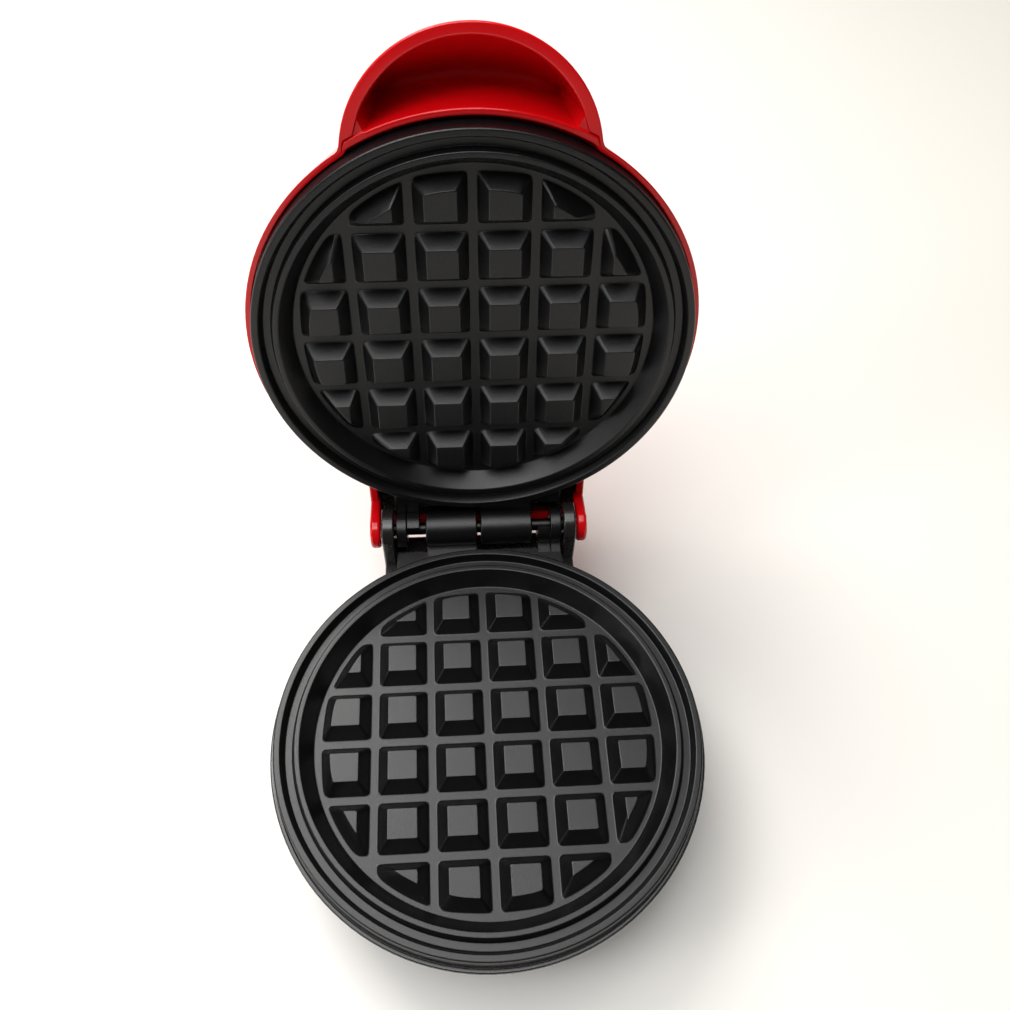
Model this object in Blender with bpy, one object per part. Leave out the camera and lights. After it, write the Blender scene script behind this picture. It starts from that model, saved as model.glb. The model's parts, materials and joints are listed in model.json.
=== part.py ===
"""Small round waffle maker with its lid swung open.

Two identical cast plates face each other: one sits in the base, the other is turned
over in the lid. Their knuckles interleave on one hinge pin. Pieces are modelled with
the lid shut and the plates' common axis on Z; the lid's pieces hang from an empty on
the hinge axis, and that empty turns them to the open pose.
"""

import math

import bmesh
import bpy
from mathutils import Matrix, Vector

MM = 0.001
GAP = 0.3 * MM
TURNED_SEGMENTS = 40
INNER_SEGMENTS = 28
BARREL_SEGMENTS = 16
SMALL_SEGMENTS = 10

# Overall layout
VALLEY_HEIGHT = 38 * MM
PLATE_SPACING = 12 * MM
HINGE_BACK = 72 * MM
AXIS_ABOVE_VALLEY = PLATE_SPACING / 2
HINGE_HEIGHT = VALLEY_HEIGHT + AXIS_ABOVE_VALLEY
UPPER_VALLEY = VALLEY_HEIGHT + PLATE_SPACING
LID_OPEN = math.radians(103)
PLATE_CENTRE_Y = -37.42 * MM

# Cast plate, heights from its valley floor
VALLEY_RADIUS = 52.1 * MM
CREST_INNER = 55.6 * MM
CREST_OUTER = 57.2 * MM
CREST_HEIGHT = 5.6 * MM
CHANNEL_INNER = 57.9 * MM
CHANNEL_OUTER = 60.1 * MM
CHANNEL_HEIGHT = 3.2 * MM
RIM_INNER = 61.2 * MM
RIM_OUTER = 63.3 * MM
RIM_HEIGHT = 5.9 * MM
RIM_UNDERSIDE = -1.0 * MM
PLATE_UNDERSIDE = -3.2 * MM
PLATE_BACK_RADIUS = 58.0 * MM

# Studs that print the waffle's pockets
STUD_PITCH = 17 * MM
STUD_COUNTS = (4, 6, 6, 6, 6, 4)
STUD_BASE = 14.5 * MM
STUD_TOP = 8.6 * MM
STUD_HEIGHT = 4.85 * MM
STUD_FIELD_BASE = 50.6 * MM
STUD_FIELD_TOP = 47.2 * MM
SQUARE = ((-1, -1), (1, -1), (1, 1), (-1, 1))

# Hinge
KNUCKLE_RADIUS = 6 * MM
KNUCKLE_LONG = (-17.6 * MM, -0.6 * MM)
KNUCKLE_RING = (23.6 * MM, 27.4 * MM)
KNUCKLE_HALF = (19.6 * MM, 23.8 * MM)
HALF_BARREL_TURNS = (135, 305)
TAB_HALF_WIDTH = 27.4 * MM
TAB_HEIGHTS = (0.4 * MM, 3.0 * MM)
TAB_FRONT = 58 * MM
TAB_RELIEF = 64.9 * MM
PIN_RADIUS = 2.0 * MM
PIN_HALF_LENGTH = 31.6 * MM
BORE_RADIUS = PIN_RADIUS + GAP
BASE_EAR = (28 * MM, 32 * MM)
BASE_EAR_RADIUS = 8 * MM
LID_EAR = (32.5 * MM, 36 * MM)
LID_EAR_RADIUS = 6 * MM
LID_EAR_FOOT = 5.8 * MM

# Bosses and screws
BOSS_CIRCLE = 47 * MM
BOSS_RADIUS = 4.5 * MM
BOSS_END = -9 * MM
CENTRE_BOSS_END = -12 * MM
SCREW_RADIUS = 1.6 * MM
SCREW_HOLE = SCREW_RADIUS + GAP
SCREW_HEAD_RADIUS = 3.1 * MM
SCREW_HEAD_HEIGHT = 1.9 * MM
BOSS_ANGLES = (45, 135, 225, 315)
COVER_SCREW_ANGLES = (30, 150, 270)
COVER_SCREW_CIRCLE = 46 * MM

# Base
BASE_RADIUS = 65 * MM
BASE_WALL = 2.5 * MM
BASE_BOTTOM = 5 * MM
BASE_LIP_INNER = RIM_OUTER + 0.4 * MM
REAR_BLOCK_HALF = 32 * MM
REAR_BLOCK_BACK = 76 * MM
REAR_BLOCK_TOP = 33.4 * MM
REAR_BLOCK_FRONT = 52 * MM
COVER_THICKNESS = 2 * MM
COVER_TOP = BASE_BOTTOM - GAP
COVER_BOTTOM = COVER_TOP - COVER_THICKNESS
COVER_RADIUS = 57.4 * MM
POST_TOP = VALLEY_HEIGHT + BOSS_END - GAP
POST_FOOT = BASE_BOTTOM + 0.4 * MM
COVER_POST_TOP = 15 * MM
COUNTERBORE_TOP = 12 * MM
POST_RIB_REACH = 57 * MM
FOOT_RADIUS = 7 * MM
FOOT_STEM_RADIUS = 2.2 * MM
FOOT_PLACES = ((-26, -42), (26, -42), (-24, 66), (24, 66))
INLET_HEIGHT = 17 * MM
INLET_RADIUS = 6.2 * MM
INLET_BORE = 3.6 * MM

# Lid
LID_RADIUS = 65.3 * MM
LID_WALL = 2.5 * MM
LID_EDGE = 49 * MM
LID_DRAFT = math.radians(14)
SHOULDER_CENTRE = (37.3 * MM, 62 * MM)
SHOULDER_RADIUS = 24 * MM
LID_TOP = 89 * MM
LID_BLOCK_HALF = LID_EAR[1]
LID_BLOCK_FRONT = 44 * MM
LID_BLOCK_BACK = HINGE_BACK + 6.5 * MM
LID_BLOCK_BOTTOM = HINGE_HEIGHT + 8.5 * MM
LID_BLOCK_TOP = 76 * MM
LID_FRAME_OUTER = 59.2 * MM
LID_FRAME_TAIL = (54.6 * MM, 56.2 * MM)
GRIP_RADIUS = 34 * MM
GRIP_CENTRE_Y = -52.7 * MM
GRIP_WALL = 3.3 * MM
GRIP_CREST = (30 * MM, 86.2 * MM)
GRIP_RADII = (90, 82, 74, 66, 56, 44, 30)
# How steeply the grip's top falls away: height lost per metre of distance squared
GRIP_FALL = 9.4
RECESS_WALL_RADIUS = 66.3 * MM

# Heaters and electrics, heights from a plate's valley floor
ELEMENT_RADIUS = 30 * MM
ELEMENT_TUBE = 3 * MM
ELEMENT_LEG_X = 7 * MM
ELEMENT_LEG_END = 41.8 * MM
SHIELD_RADIUS = 38.8 * MM
SHIELD_SHEET = 0.8 * MM
SHIELD_FLOOR = CENTRE_BOSS_END - GAP
THERMOSTAT_RADIUS = 8 * MM
THERMOSTAT_Y = -17 * MM
LENS_Y = -34 * MM
LENS_RADIUS = 4 * MM

COLOURS = {
    "nonstick": ((0.045, 0.045, 0.05), 0.42, 0.6),
    "red_shell": ((0.55, 0.006, 0.01), 0.12, 0.0),
    "black_shell": ((0.012, 0.011, 0.011), 0.22, 0.0),
    "rubber": ((0.02, 0.02, 0.02), 0.8, 0.0),
    "steel": ((0.55, 0.55, 0.56), 0.3, 1.0),
    "tinplate": ((0.65, 0.65, 0.64), 0.35, 1.0),
    "ceramic": ((0.8, 0.77, 0.7), 0.5, 0.0),
    "insulation": ((0.7, 0.68, 0.62), 0.7, 0.0),
    "lens": ((0.05, 0.15, 0.6), 0.1, 0.0),
}


def clear_scene():
    for old in list(bpy.data.objects):
        bpy.data.objects.remove(old, do_unlink=True)


def material(slot):
    found = bpy.data.materials.get(slot)
    if found:
        return found
    colour, roughness, metallic = COLOURS[slot]
    made = bpy.data.materials.new(slot)
    made.use_nodes = True
    shader = made.node_tree.nodes["Principled BSDF"]
    shader.inputs["Base Color"].default_value = (*colour, 1.0)
    shader.inputs["Roughness"].default_value = roughness
    shader.inputs["Metallic"].default_value = metallic
    return made


def link(name, data, parent, location=(0, 0, 0)):
    obj = bpy.data.objects.new(name, data)
    bpy.context.scene.collection.objects.link(obj)
    obj.parent = parent
    obj.location = location
    return obj


def solid(name, bm, slot, parent, location=(0, 0, 0)):
    """Turn the bmesh into a finished object with outward faces and smooth rounds."""
    bmesh.ops.recalc_face_normals(bm, faces=bm.faces)
    mesh = bpy.data.meshes.new(name)
    bm.to_mesh(mesh)
    bm.free()
    mesh.shade_smooth()
    mesh.set_sharp_from_angle(angle=math.radians(35))
    mesh.materials.append(material(slot))
    return link(name, mesh, parent, location)


def boolean(target, bm, operation, label):
    """Join, cut or crop the target with a hidden tool that moves with it."""
    bmesh.ops.recalc_face_normals(bm, faces=bm.faces)
    mesh = bpy.data.meshes.new(label)
    bm.to_mesh(mesh)
    bm.free()
    tool = link(f"{target.name}_{label}", mesh, target)
    tool.hide_render = True
    tool.display_type = "WIRE"
    modifier = target.modifiers.new(label, "BOOLEAN")
    modifier.operation = operation
    modifier.object = tool
    modifier.solver = "EXACT"
    return tool


def add_turned(bm, profile, centre=(0, 0), segments=TURNED_SEGMENTS):
    """Spin a closed profile of (radius, height) points once round a vertical axis."""
    spine = Vector((*centre, 0))
    ring = [bm.verts.new(spine + Vector((radius, 0, height))) for radius, height in profile]
    edges = [bm.edges.new(pair) for pair in zip(ring, ring[1:] + ring[:1])]
    on_axis = [radius < 1e-7 for radius, _ in profile]
    edges = [
        edge
        for index, edge in enumerate(edges)
        if not (on_axis[index] and on_axis[(index + 1) % len(profile)])
    ]
    bmesh.ops.spin(
        bm,
        geom=ring + edges,
        cent=spine,
        axis=(0, 0, 1),
        angle=math.tau,
        steps=segments,
        use_merge=True,
    )
    bmesh.ops.remove_doubles(bm, verts=bm.verts, dist=1e-6)
    loose = [edge for edge in bm.edges if not edge.link_faces]
    bmesh.ops.delete(bm, geom=loose, context="EDGES")


def turned(profile, centre=(0, 0), segments=TURNED_SEGMENTS):
    bm = bmesh.new()
    add_turned(bm, profile, centre, segments)
    return bm


def add_box(bm, low, high):
    low, high = Vector(low), Vector(high)
    size = high - low
    matrix = Matrix.Translation((low + high) / 2) @ Matrix.Diagonal((*size, 1))
    bmesh.ops.create_cube(bm, size=1, matrix=matrix)


def box(low, high):
    bm = bmesh.new()
    add_box(bm, low, high)
    return bm


def add_rod(bm, start, end, radius, segments=SMALL_SEGMENTS):
    start, end = Vector(start), Vector(end)
    along = end - start
    turn = Vector((0, 0, 1)).rotation_difference(along).to_matrix().to_4x4()
    bmesh.ops.create_cone(
        bm,
        cap_ends=True,
        segments=segments,
        radius1=radius,
        radius2=radius,
        depth=along.length,
        matrix=Matrix.Translation((start + end) / 2) @ turn,
    )


def rod(start, end, radius, segments=SMALL_SEGMENTS):
    bm = bmesh.new()
    add_rod(bm, start, end, radius, segments)
    return bm


def add_prism_x(bm, outline, low, high):
    """Extrude a closed (y, z) outline along X."""
    flat = bm.faces.new([bm.verts.new((low, y, z)) for y, z in outline])
    made = bmesh.ops.extrude_face_region(bm, geom=[flat])
    moved = [item for item in made["geom"] if isinstance(item, bmesh.types.BMVert)]
    bmesh.ops.translate(bm, verts=moved, vec=(high - low, 0, 0))


def polar(radius, degrees):
    return radius * math.cos(math.radians(degrees)), radius * math.sin(math.radians(degrees))


def arc(centre, radius, start, end, steps):
    """Points on a circle from the start to the end angle, both included."""
    spokes = [polar(radius, start + (end - start) * step / steps) for step in range(steps + 1)]
    return [(centre[0] + along, centre[1] + up) for along, up in spokes]


# ---- cast plates ----


def plate_profile():
    return [
        (0, 0),
        (VALLEY_RADIUS, 0),
        (CREST_INNER, CREST_HEIGHT),
        (CREST_OUTER, CREST_HEIGHT),
        (CHANNEL_INNER, CHANNEL_HEIGHT),
        (CHANNEL_OUTER, CHANNEL_HEIGHT),
        (RIM_INNER, RIM_HEIGHT),
        (RIM_OUTER, RIM_HEIGHT),
        (RIM_OUTER, RIM_UNDERSIDE),
        (PLATE_BACK_RADIUS + 1.5 * MM, RIM_UNDERSIDE),
        (PLATE_BACK_RADIUS, PLATE_UNDERSIDE),
        (0, PLATE_UNDERSIDE),
    ]


def stud_centres():
    for row, count in enumerate(STUD_COUNTS):
        y = (row - (len(STUD_COUNTS) - 1) / 2) * STUD_PITCH
        for column in range(count):
            yield (column - (count - 1) / 2) * STUD_PITCH, y


def stud_field():
    """All studs as square frusta whose feet reach below the valley floor."""
    sink = 1 * MM
    slope = (STUD_BASE - STUD_TOP) / 2 / STUD_HEIGHT
    foot = STUD_BASE / 2 + slope * sink
    bm = bmesh.new()
    for x, y in stud_centres():
        for z, half in ((-sink, foot), (STUD_HEIGHT, STUD_TOP / 2)):
            ring = [bm.verts.new((x + across * half, y + along * half, z)) for across, along in SQUARE]
            bm.faces.new(ring)
            if z > 0:
                for index in range(4):
                    after = (index + 1) % 4
                    bm.faces.new((below[index], below[after], ring[after], ring[index]))
            below = ring
    return bm


def stud_crop():
    """The tapered outline that the outermost studs end on."""
    below = 2 * MM
    slope = (STUD_FIELD_BASE - STUD_FIELD_TOP) / STUD_HEIGHT
    return turned(
        [
            (0, -below),
            (STUD_FIELD_BASE + slope * below, -below),
            (STUD_FIELD_TOP - slope * below, STUD_HEIGHT + below),
            (0, STUD_HEIGHT + below),
        ]
    )


def hinge_rod(low, high, radius, axis_height, segments=BARREL_SEGMENTS):
    """A rod on the hinge axis between two places along X."""
    return rod((low, HINGE_BACK, axis_height), (high, HINGE_BACK, axis_height), radius, segments)


def hinge_tab():
    """Flat tongue behind the rim, cut short of the other casting's knuckles."""
    low = (-TAB_HALF_WIDTH, TAB_FRONT, TAB_HEIGHTS[0])
    return box(low, (TAB_HALF_WIDTH, TAB_RELIEF, TAB_HEIGHTS[1]))


def knuckle_webs():
    """Short webs that tie each barrel to the tab."""
    bm = bmesh.new()
    inset = 0.01 * MM
    for low, high in (KNUCKLE_LONG, (KNUCKLE_HALF[0], KNUCKLE_RING[1])):
        add_box(
            bm,
            (low + inset, TAB_RELIEF - 2 * MM, TAB_HEIGHTS[0] + inset),
            (high - inset, HINGE_BACK, TAB_HEIGHTS[1] - inset),
        )
    return bm


def half_barrel():
    """Barrel that wraps the pin on its front and lower side only."""
    outline = arc((HINGE_BACK, AXIS_ABOVE_VALLEY), KNUCKLE_RADIUS, *HALF_BARREL_TURNS, 8)
    bm = bmesh.new()
    add_prism_x(bm, outline, *KNUCKLE_HALF)
    return bm


def boss_set():
    bm = bmesh.new()
    for turn in BOSS_ANGLES:
        x, y = polar(BOSS_CIRCLE, turn)
        add_rod(bm, (x, y, BOSS_END), (x, y, PLATE_UNDERSIDE + 1 * MM), BOSS_RADIUS)
    add_rod(bm, (0, 0, CENTRE_BOSS_END), (0, 0, PLATE_UNDERSIDE + 1 * MM), BOSS_RADIUS)
    return bm


def boss_holes():
    depth = PLATE_UNDERSIDE + 1.2 * MM
    bm = bmesh.new()
    for turn in BOSS_ANGLES:
        x, y = polar(BOSS_CIRCLE, turn)
        add_rod(bm, (x, y, BOSS_END - 1 * MM), (x, y, depth), SCREW_HOLE)
    add_rod(bm, (0, 0, CENTRE_BOSS_END - 1 * MM), (0, 0, depth), SCREW_HOLE)
    return bm


def plate(name, parent, location):
    """One casting in its own frame: valley floor at z = 0, cooking side up."""
    made = solid(name, turned(plate_profile()), "nonstick", parent, location)
    field = boolean(made, stud_field(), "UNION", "studs")
    boolean(field, stud_crop(), "INTERSECT", "crop")
    boolean(made, hinge_tab(), "UNION", "tab")
    boolean(made, knuckle_webs(), "UNION", "webs")
    for label, span in (("long_barrel", KNUCKLE_LONG), ("ring", KNUCKLE_RING)):
        boolean(made, hinge_rod(*span, KNUCKLE_RADIUS, AXIS_ABOVE_VALLEY), "UNION", label)
    boolean(made, half_barrel(), "UNION", "half_barrel")
    reach = TAB_HALF_WIDTH + 2 * MM
    bore = hinge_rod(-reach, reach, BORE_RADIUS, AXIS_ABOVE_VALLEY, SMALL_SEGMENTS + 2)
    boolean(made, bore, "DIFFERENCE", "bore")
    boolean(made, boss_set(), "UNION", "bosses")
    boolean(made, boss_holes(), "DIFFERENCE", "holes")
    return made


def screw(name, x, y, head, tip, parent, location=(0, 0, 0)):
    """A pan-head screw along Z; its head lies on the far side of head from the tip."""
    way = 1 if tip > head else -1
    outer = head - way * SCREW_HEAD_HEIGHT
    profile = [
        (0, outer),
        (SCREW_HEAD_RADIUS - 0.6 * MM, outer),
        (SCREW_HEAD_RADIUS, outer + way * 0.7 * MM),
        (SCREW_HEAD_RADIUS, head),
        (SCREW_RADIUS, head),
        (SCREW_RADIUS, tip - way * 1 * MM),
        (SCREW_RADIUS * 0.4, tip),
        (0, tip),
    ]
    return solid(name, turned(profile, (x, y), SMALL_SEGMENTS), "steel", parent, location)


# ---- base ----


def base_profile():
    """Bowl wall: outer face from the lip down, then back up the inner face."""
    outer = [
        (BASE_RADIUS - 0.3 * MM, VALLEY_HEIGHT),
        (BASE_RADIUS, VALLEY_HEIGHT - 0.4 * MM),
        (64.6 * MM, 34.5 * MM),
        (62.8 * MM, 27 * MM),
        (60.6 * MM, 18 * MM),
        (58.6 * MM, 10 * MM),
        (57.6 * MM, BASE_BOTTOM),
    ]
    inner = [(radius - BASE_WALL, height) for radius, height in reversed(outer[2:])]
    ledge = VALLEY_HEIGHT + RIM_UNDERSIDE - GAP
    lip = [(62.1 * MM, ledge), (BASE_LIP_INNER, ledge), (BASE_LIP_INNER, VALLEY_HEIGHT)]
    return outer + inner + lip


def ear_outline(radius, foot_front, foot_back, foot_height):
    """Side view of a cheek: round over the hinge axis, straight down or up to its foot."""
    side = 1 if foot_height < HINGE_HEIGHT else -1
    front_turn = math.degrees(math.acos((foot_front - HINGE_BACK) / radius))
    back_turn = math.degrees(math.acos((foot_back - HINGE_BACK) / radius))
    round_end = arc((HINGE_BACK, HINGE_HEIGHT), radius, side * back_turn, side * front_turn, 10)
    return [(foot_back, foot_height), *round_end, (foot_front, foot_height)]


def ears(span, outline):
    bm = bmesh.new()
    for side in (-1, 1):
        low, high = sorted(side * edge for edge in span)
        add_prism_x(bm, outline, low, high)
    return bm


def base_posts():
    """Posts that carry the plate's screws and the bottom cover's screws."""
    bm = bmesh.new()
    for turn in BOSS_ANGLES:
        x, y = polar(BOSS_CIRCLE, turn)
        add_rod(bm, (x, y, POST_FOOT), (x, y, POST_TOP), BOSS_RADIUS + 0.6 * MM)
    for turn in COVER_SCREW_ANGLES:
        x, y = polar(COVER_SCREW_CIRCLE, turn)
        add_rod(bm, (x, y, POST_FOOT), (x, y, COVER_POST_TOP), BOSS_RADIUS)
    return bm


def base_post_ribs():
    """Ribs between the posts and the bowl's wall."""
    bm = bmesh.new()
    for turns, circle, top in (
        (BOSS_ANGLES, BOSS_CIRCLE, POST_TOP - 1 * MM),
        (COVER_SCREW_ANGLES, COVER_SCREW_CIRCLE, COVER_POST_TOP - 1 * MM),
    ):
        for turn in turns:
            before = len(bm.verts)
            low = (circle, -1 * MM, POST_FOOT + 0.4 * MM)
            add_box(bm, low, (POST_RIB_REACH, 1 * MM, top))
            bm.verts.ensure_lookup_table()
            spin = Matrix.Rotation(math.radians(turn), 3, "Z")
            bmesh.ops.rotate(bm, verts=bm.verts[before:], cent=(0, 0, 0), matrix=spin)
    return bm


def base_post_holes():
    bm = bmesh.new()
    for turn in BOSS_ANGLES:
        x, y = polar(BOSS_CIRCLE, turn)
        add_turned(
            bm,
            [
                (0, 0),
                (SCREW_HEAD_RADIUS + 0.4 * MM, 0),
                (SCREW_HEAD_RADIUS + 0.4 * MM, COUNTERBORE_TOP),
                (SCREW_HOLE, COUNTERBORE_TOP),
                (SCREW_HOLE, POST_TOP + 1 * MM),
                (0, POST_TOP + 1 * MM),
            ],
            (x, y),
            SMALL_SEGMENTS,
        )
    for turn in COVER_SCREW_ANGLES:
        x, y = polar(COVER_SCREW_CIRCLE, turn)
        add_rod(bm, (x, y, 0), (x, y, COVER_POST_TOP - 2 * MM), SCREW_HOLE)
    return bm


def base_housing(parent):
    made = solid("base_housing", turned(base_profile()), "black_shell", parent)
    block = box(
        (-REAR_BLOCK_HALF, REAR_BLOCK_FRONT, BASE_BOTTOM),
        (REAR_BLOCK_HALF, REAR_BLOCK_BACK, REAR_BLOCK_TOP),
    )
    boolean(made, block, "UNION", "rear_block")
    inside = REAR_BLOCK_HALF - BASE_WALL
    hollow = box(
        (-inside, REAR_BLOCK_FRONT - 9 * MM, BASE_BOTTOM - 2 * MM),
        (inside, REAR_BLOCK_BACK - BASE_WALL, REAR_BLOCK_TOP - BASE_WALL),
    )
    boolean(made, hollow, "DIFFERENCE", "rear_hollow")
    cheek = ear_outline(
        BASE_EAR_RADIUS,
        HINGE_BACK - 7.5 * MM,
        REAR_BLOCK_BACK - 0.05 * MM,
        REAR_BLOCK_TOP - 1.2 * MM,
    )
    boolean(made, ears(BASE_EAR, cheek), "UNION", "ears")
    reach = BASE_EAR[1] + 2 * MM
    bore = hinge_rod(-reach, reach, BORE_RADIUS, HINGE_HEIGHT, SMALL_SEGMENTS + 2)
    boolean(made, bore, "DIFFERENCE", "pin_bore")
    boolean(made, base_posts(), "UNION", "posts")
    boolean(made, base_post_ribs(), "UNION", "ribs")
    boolean(made, base_post_holes(), "DIFFERENCE", "post_holes")
    inlet = rod(
        (0, REAR_BLOCK_BACK - 6 * MM, INLET_HEIGHT),
        (0, REAR_BLOCK_BACK + 3 * MM, INLET_HEIGHT),
        INLET_RADIUS,
        BARREL_SEGMENTS,
    )
    boolean(made, inlet, "DIFFERENCE", "inlet")
    return made


def bottom_cover(parent):
    """Flat cover under the bowl and the rear block, with vent slots."""
    profile = [
        (0, COVER_BOTTOM),
        (COVER_RADIUS - 0.6 * MM, COVER_BOTTOM),
        (COVER_RADIUS, COVER_BOTTOM + 0.6 * MM),
        (COVER_RADIUS, COVER_TOP),
        (0, COVER_TOP),
    ]
    made = solid("bottom_cover", turned(profile), "black_shell", parent)
    tail = box(
        (-REAR_BLOCK_HALF + 0.2 * MM, 30 * MM, COVER_BOTTOM + 0.1 * MM),
        (REAR_BLOCK_HALF - 0.2 * MM, REAR_BLOCK_BACK - 0.2 * MM, COVER_TOP - 0.02 * MM),
    )
    boolean(made, tail, "UNION", "tail")
    holes = bmesh.new()
    for x, y in FOOT_PLACES:
        add_rod(holes, (x * MM, y * MM, 0), (x * MM, y * MM, 8 * MM), FOOT_STEM_RADIUS + GAP)
    for turn in COVER_SCREW_ANGLES:
        x, y = polar(COVER_SCREW_CIRCLE, turn)
        add_rod(holes, (x, y, 0), (x, y, 8 * MM), SCREW_HOLE)
    vent_x = 20 * MM
    for row in range(5):
        y = (row - 2) * 6 * MM
        add_box(holes, (-vent_x, y - 1.25 * MM, 0), (vent_x, y + 1.25 * MM, 8 * MM))
    boolean(made, holes, "DIFFERENCE", "holes")
    return made


def foot(name, x, y, parent):
    top = COVER_BOTTOM - GAP
    profile = [
        (0, 0),
        (FOOT_RADIUS - 0.8 * MM, 0),
        (FOOT_RADIUS, 0.8 * MM),
        (FOOT_RADIUS - 0.3 * MM, top),
        (FOOT_STEM_RADIUS, top),
        (FOOT_STEM_RADIUS, COVER_TOP + 1 * MM),
        (0, COVER_TOP + 1 * MM),
    ]
    return solid(name, turned(profile, (x, y), BARREL_SEGMENTS), "rubber", parent)


def inlet_grommet(parent):
    """Rubber ring in the rear wall, with a groove that grips the wall's edge."""
    flange = INLET_RADIUS + 1.8 * MM
    neck = INLET_RADIUS - GAP
    outside = 1.6 * MM
    inside = BASE_WALL + GAP
    profile = [
        (INLET_BORE, outside),
        (INLET_BORE, -inside - 1.4 * MM),
        (flange, -inside - 1.4 * MM),
        (flange, -inside),
        (neck, -inside),
        (neck, GAP),
        (flange, GAP),
        (flange - 0.6 * MM, outside),
    ]
    bm = turned(profile, segments=BARREL_SEGMENTS)
    facing_back = Matrix.Rotation(-math.pi / 2, 3, "X")
    bmesh.ops.rotate(bm, verts=bm.verts, cent=(0, 0, 0), matrix=facing_back)
    place = (0, REAR_BLOCK_BACK, INLET_HEIGHT)
    return solid("cord_inlet_grommet", bm, "rubber", parent, place)


def hinge_pin(parent):
    pin = hinge_rod(-PIN_HALF_LENGTH, PIN_HALF_LENGTH, PIN_RADIUS, HINGE_HEIGHT, SMALL_SEGMENTS + 2)
    return solid("hinge_pin", pin, "steel", parent)


# ---- lid ----


def side_radius(height, inset):
    """Radius of the lid's leaning side at a height, moved in by inset."""
    lean = (height - LID_EDGE) * math.tan(LID_DRAFT)
    return LID_RADIUS - lean - inset / math.cos(LID_DRAFT)


def dome_line(inset):
    """The dome's profile from its side over the shoulder to the crown, moved in by inset."""
    start = math.degrees(LID_DRAFT)
    shoulder = arc(SHOULDER_CENTRE, SHOULDER_RADIUS - inset, start, 90, 6)
    crown_edge = shoulder[-1][1]
    top = LID_TOP - inset
    return [*shoulder, (SHOULDER_CENTRE[0] / 2, (crown_edge + 3 * top) / 4), (0, top)]


def lid_outside():
    return turned([(0, LID_EDGE), (LID_RADIUS, LID_EDGE), *dome_line(0)])


def lid_inside():
    """The room inside the dome, stepped out at its mouth where the plate's rim sits."""
    step = UPPER_VALLEY - RIM_UNDERSIDE + GAP
    mouth = RIM_OUTER + 0.4 * MM
    below = LID_EDGE - 5 * MM
    line = dome_line(LID_WALL)
    side = side_radius(step, LID_WALL)
    return turned([(0, below), (mouth, below), (mouth, step), (side, step), *line])


def grip_line(inset):
    """The top of the grip as it leaves the dome and falls towards its tip."""
    crest_radius, crest_height = GRIP_CREST
    points = []
    for radius in (value * MM for value in GRIP_RADII):
        drop = GRIP_FALL * (radius - crest_radius) ** 2
        points.append((radius, crest_height - drop - inset))
    return points


def under_grip_line(inset, bottom):
    line = grip_line(inset)
    return turned([(0, bottom), (line[0][0], bottom), *line, (0, line[-1][1])])


def grip_post(inset, bottom):
    """Round post that leans inwards like the lid's side."""
    top = LID_TOP + 6 * MM
    profile = [(0, bottom)]
    for height in (bottom, top):
        profile.append((side_radius(height, inset) - LID_RADIUS + GRIP_RADIUS, height))
    return turned([*profile, (0, top)], (0, GRIP_CENTRE_Y))


def grip(made):
    """Round tab in front of the dome."""
    body = boolean(made, grip_post(0, LID_EDGE), "UNION", "grip")
    boolean(body, under_grip_line(0, LID_EDGE - 3 * MM), "INTERSECT", "top")


def grip_recess(made):
    """The grip is open underneath for the fingers."""
    post = grip_post(GRIP_WALL, LID_EDGE - 4 * MM)
    recess = boolean(made, post, "DIFFERENCE", "recess")
    boolean(recess, under_grip_line(LID_WALL, LID_EDGE - 8 * MM), "INTERSECT", "ceiling")
    top = (0, 0, LID_TOP + 10 * MM)
    wall = rod((0, 0, LID_EDGE - 12 * MM), top, RECESS_WALL_RADIUS, TURNED_SEGMENTS)
    boolean(recess, wall, "DIFFERENCE", "wall")


def lid_rear(made):
    """Block over the hinge, from which the lid's two cheeks reach down."""
    block = box(
        (-LID_BLOCK_HALF, LID_BLOCK_FRONT, LID_BLOCK_BOTTOM),
        (LID_BLOCK_HALF, LID_BLOCK_BACK, LID_BLOCK_TOP),
    )
    body = boolean(made, block, "UNION", "rear_block")
    boolean(body, under_rear_slope(), "INTERSECT", "slope")


def lid_rear_hollow(made):
    """The block is a shell, open below and into the dome; its cheeks are solid."""
    inside = LID_BLOCK_HALF - LID_WALL
    hollow = box(
        (-inside, LID_BLOCK_FRONT - 4 * MM, LID_BLOCK_BOTTOM - 2 * MM),
        (inside, LID_BLOCK_BACK - LID_WALL, LID_BLOCK_TOP - 8 * MM),
    )
    boolean(made, hollow, "DIFFERENCE", "rear_hollow")
    cheek = ear_outline(
        LID_EAR_RADIUS,
        HINGE_BACK - LID_EAR_FOOT,
        HINGE_BACK + LID_EAR_FOOT,
        LID_BLOCK_BOTTOM + 1 * MM,
    )
    span = (LID_EAR[0], LID_EAR[1] - 0.05 * MM)
    boolean(made, ears(span, cheek), "UNION", "ears")


def under_rear_slope():
    """The block's top falls away from the dome towards the back."""
    bm = bmesh.new()
    outline = [
        (40 * MM, LID_BLOCK_BOTTOM - 3 * MM),
        (90 * MM, LID_BLOCK_BOTTOM - 3 * MM),
        (90 * MM, LID_BLOCK_TOP - 12 * MM),
        (LID_BLOCK_BACK - 6 * MM, LID_BLOCK_TOP - 2 * MM),
        (40 * MM, LID_BLOCK_TOP + 2 * MM),
    ]
    add_prism_x(bm, outline, -LID_BLOCK_HALF - 2 * MM, LID_BLOCK_HALF + 2 * MM)
    return bm


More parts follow.
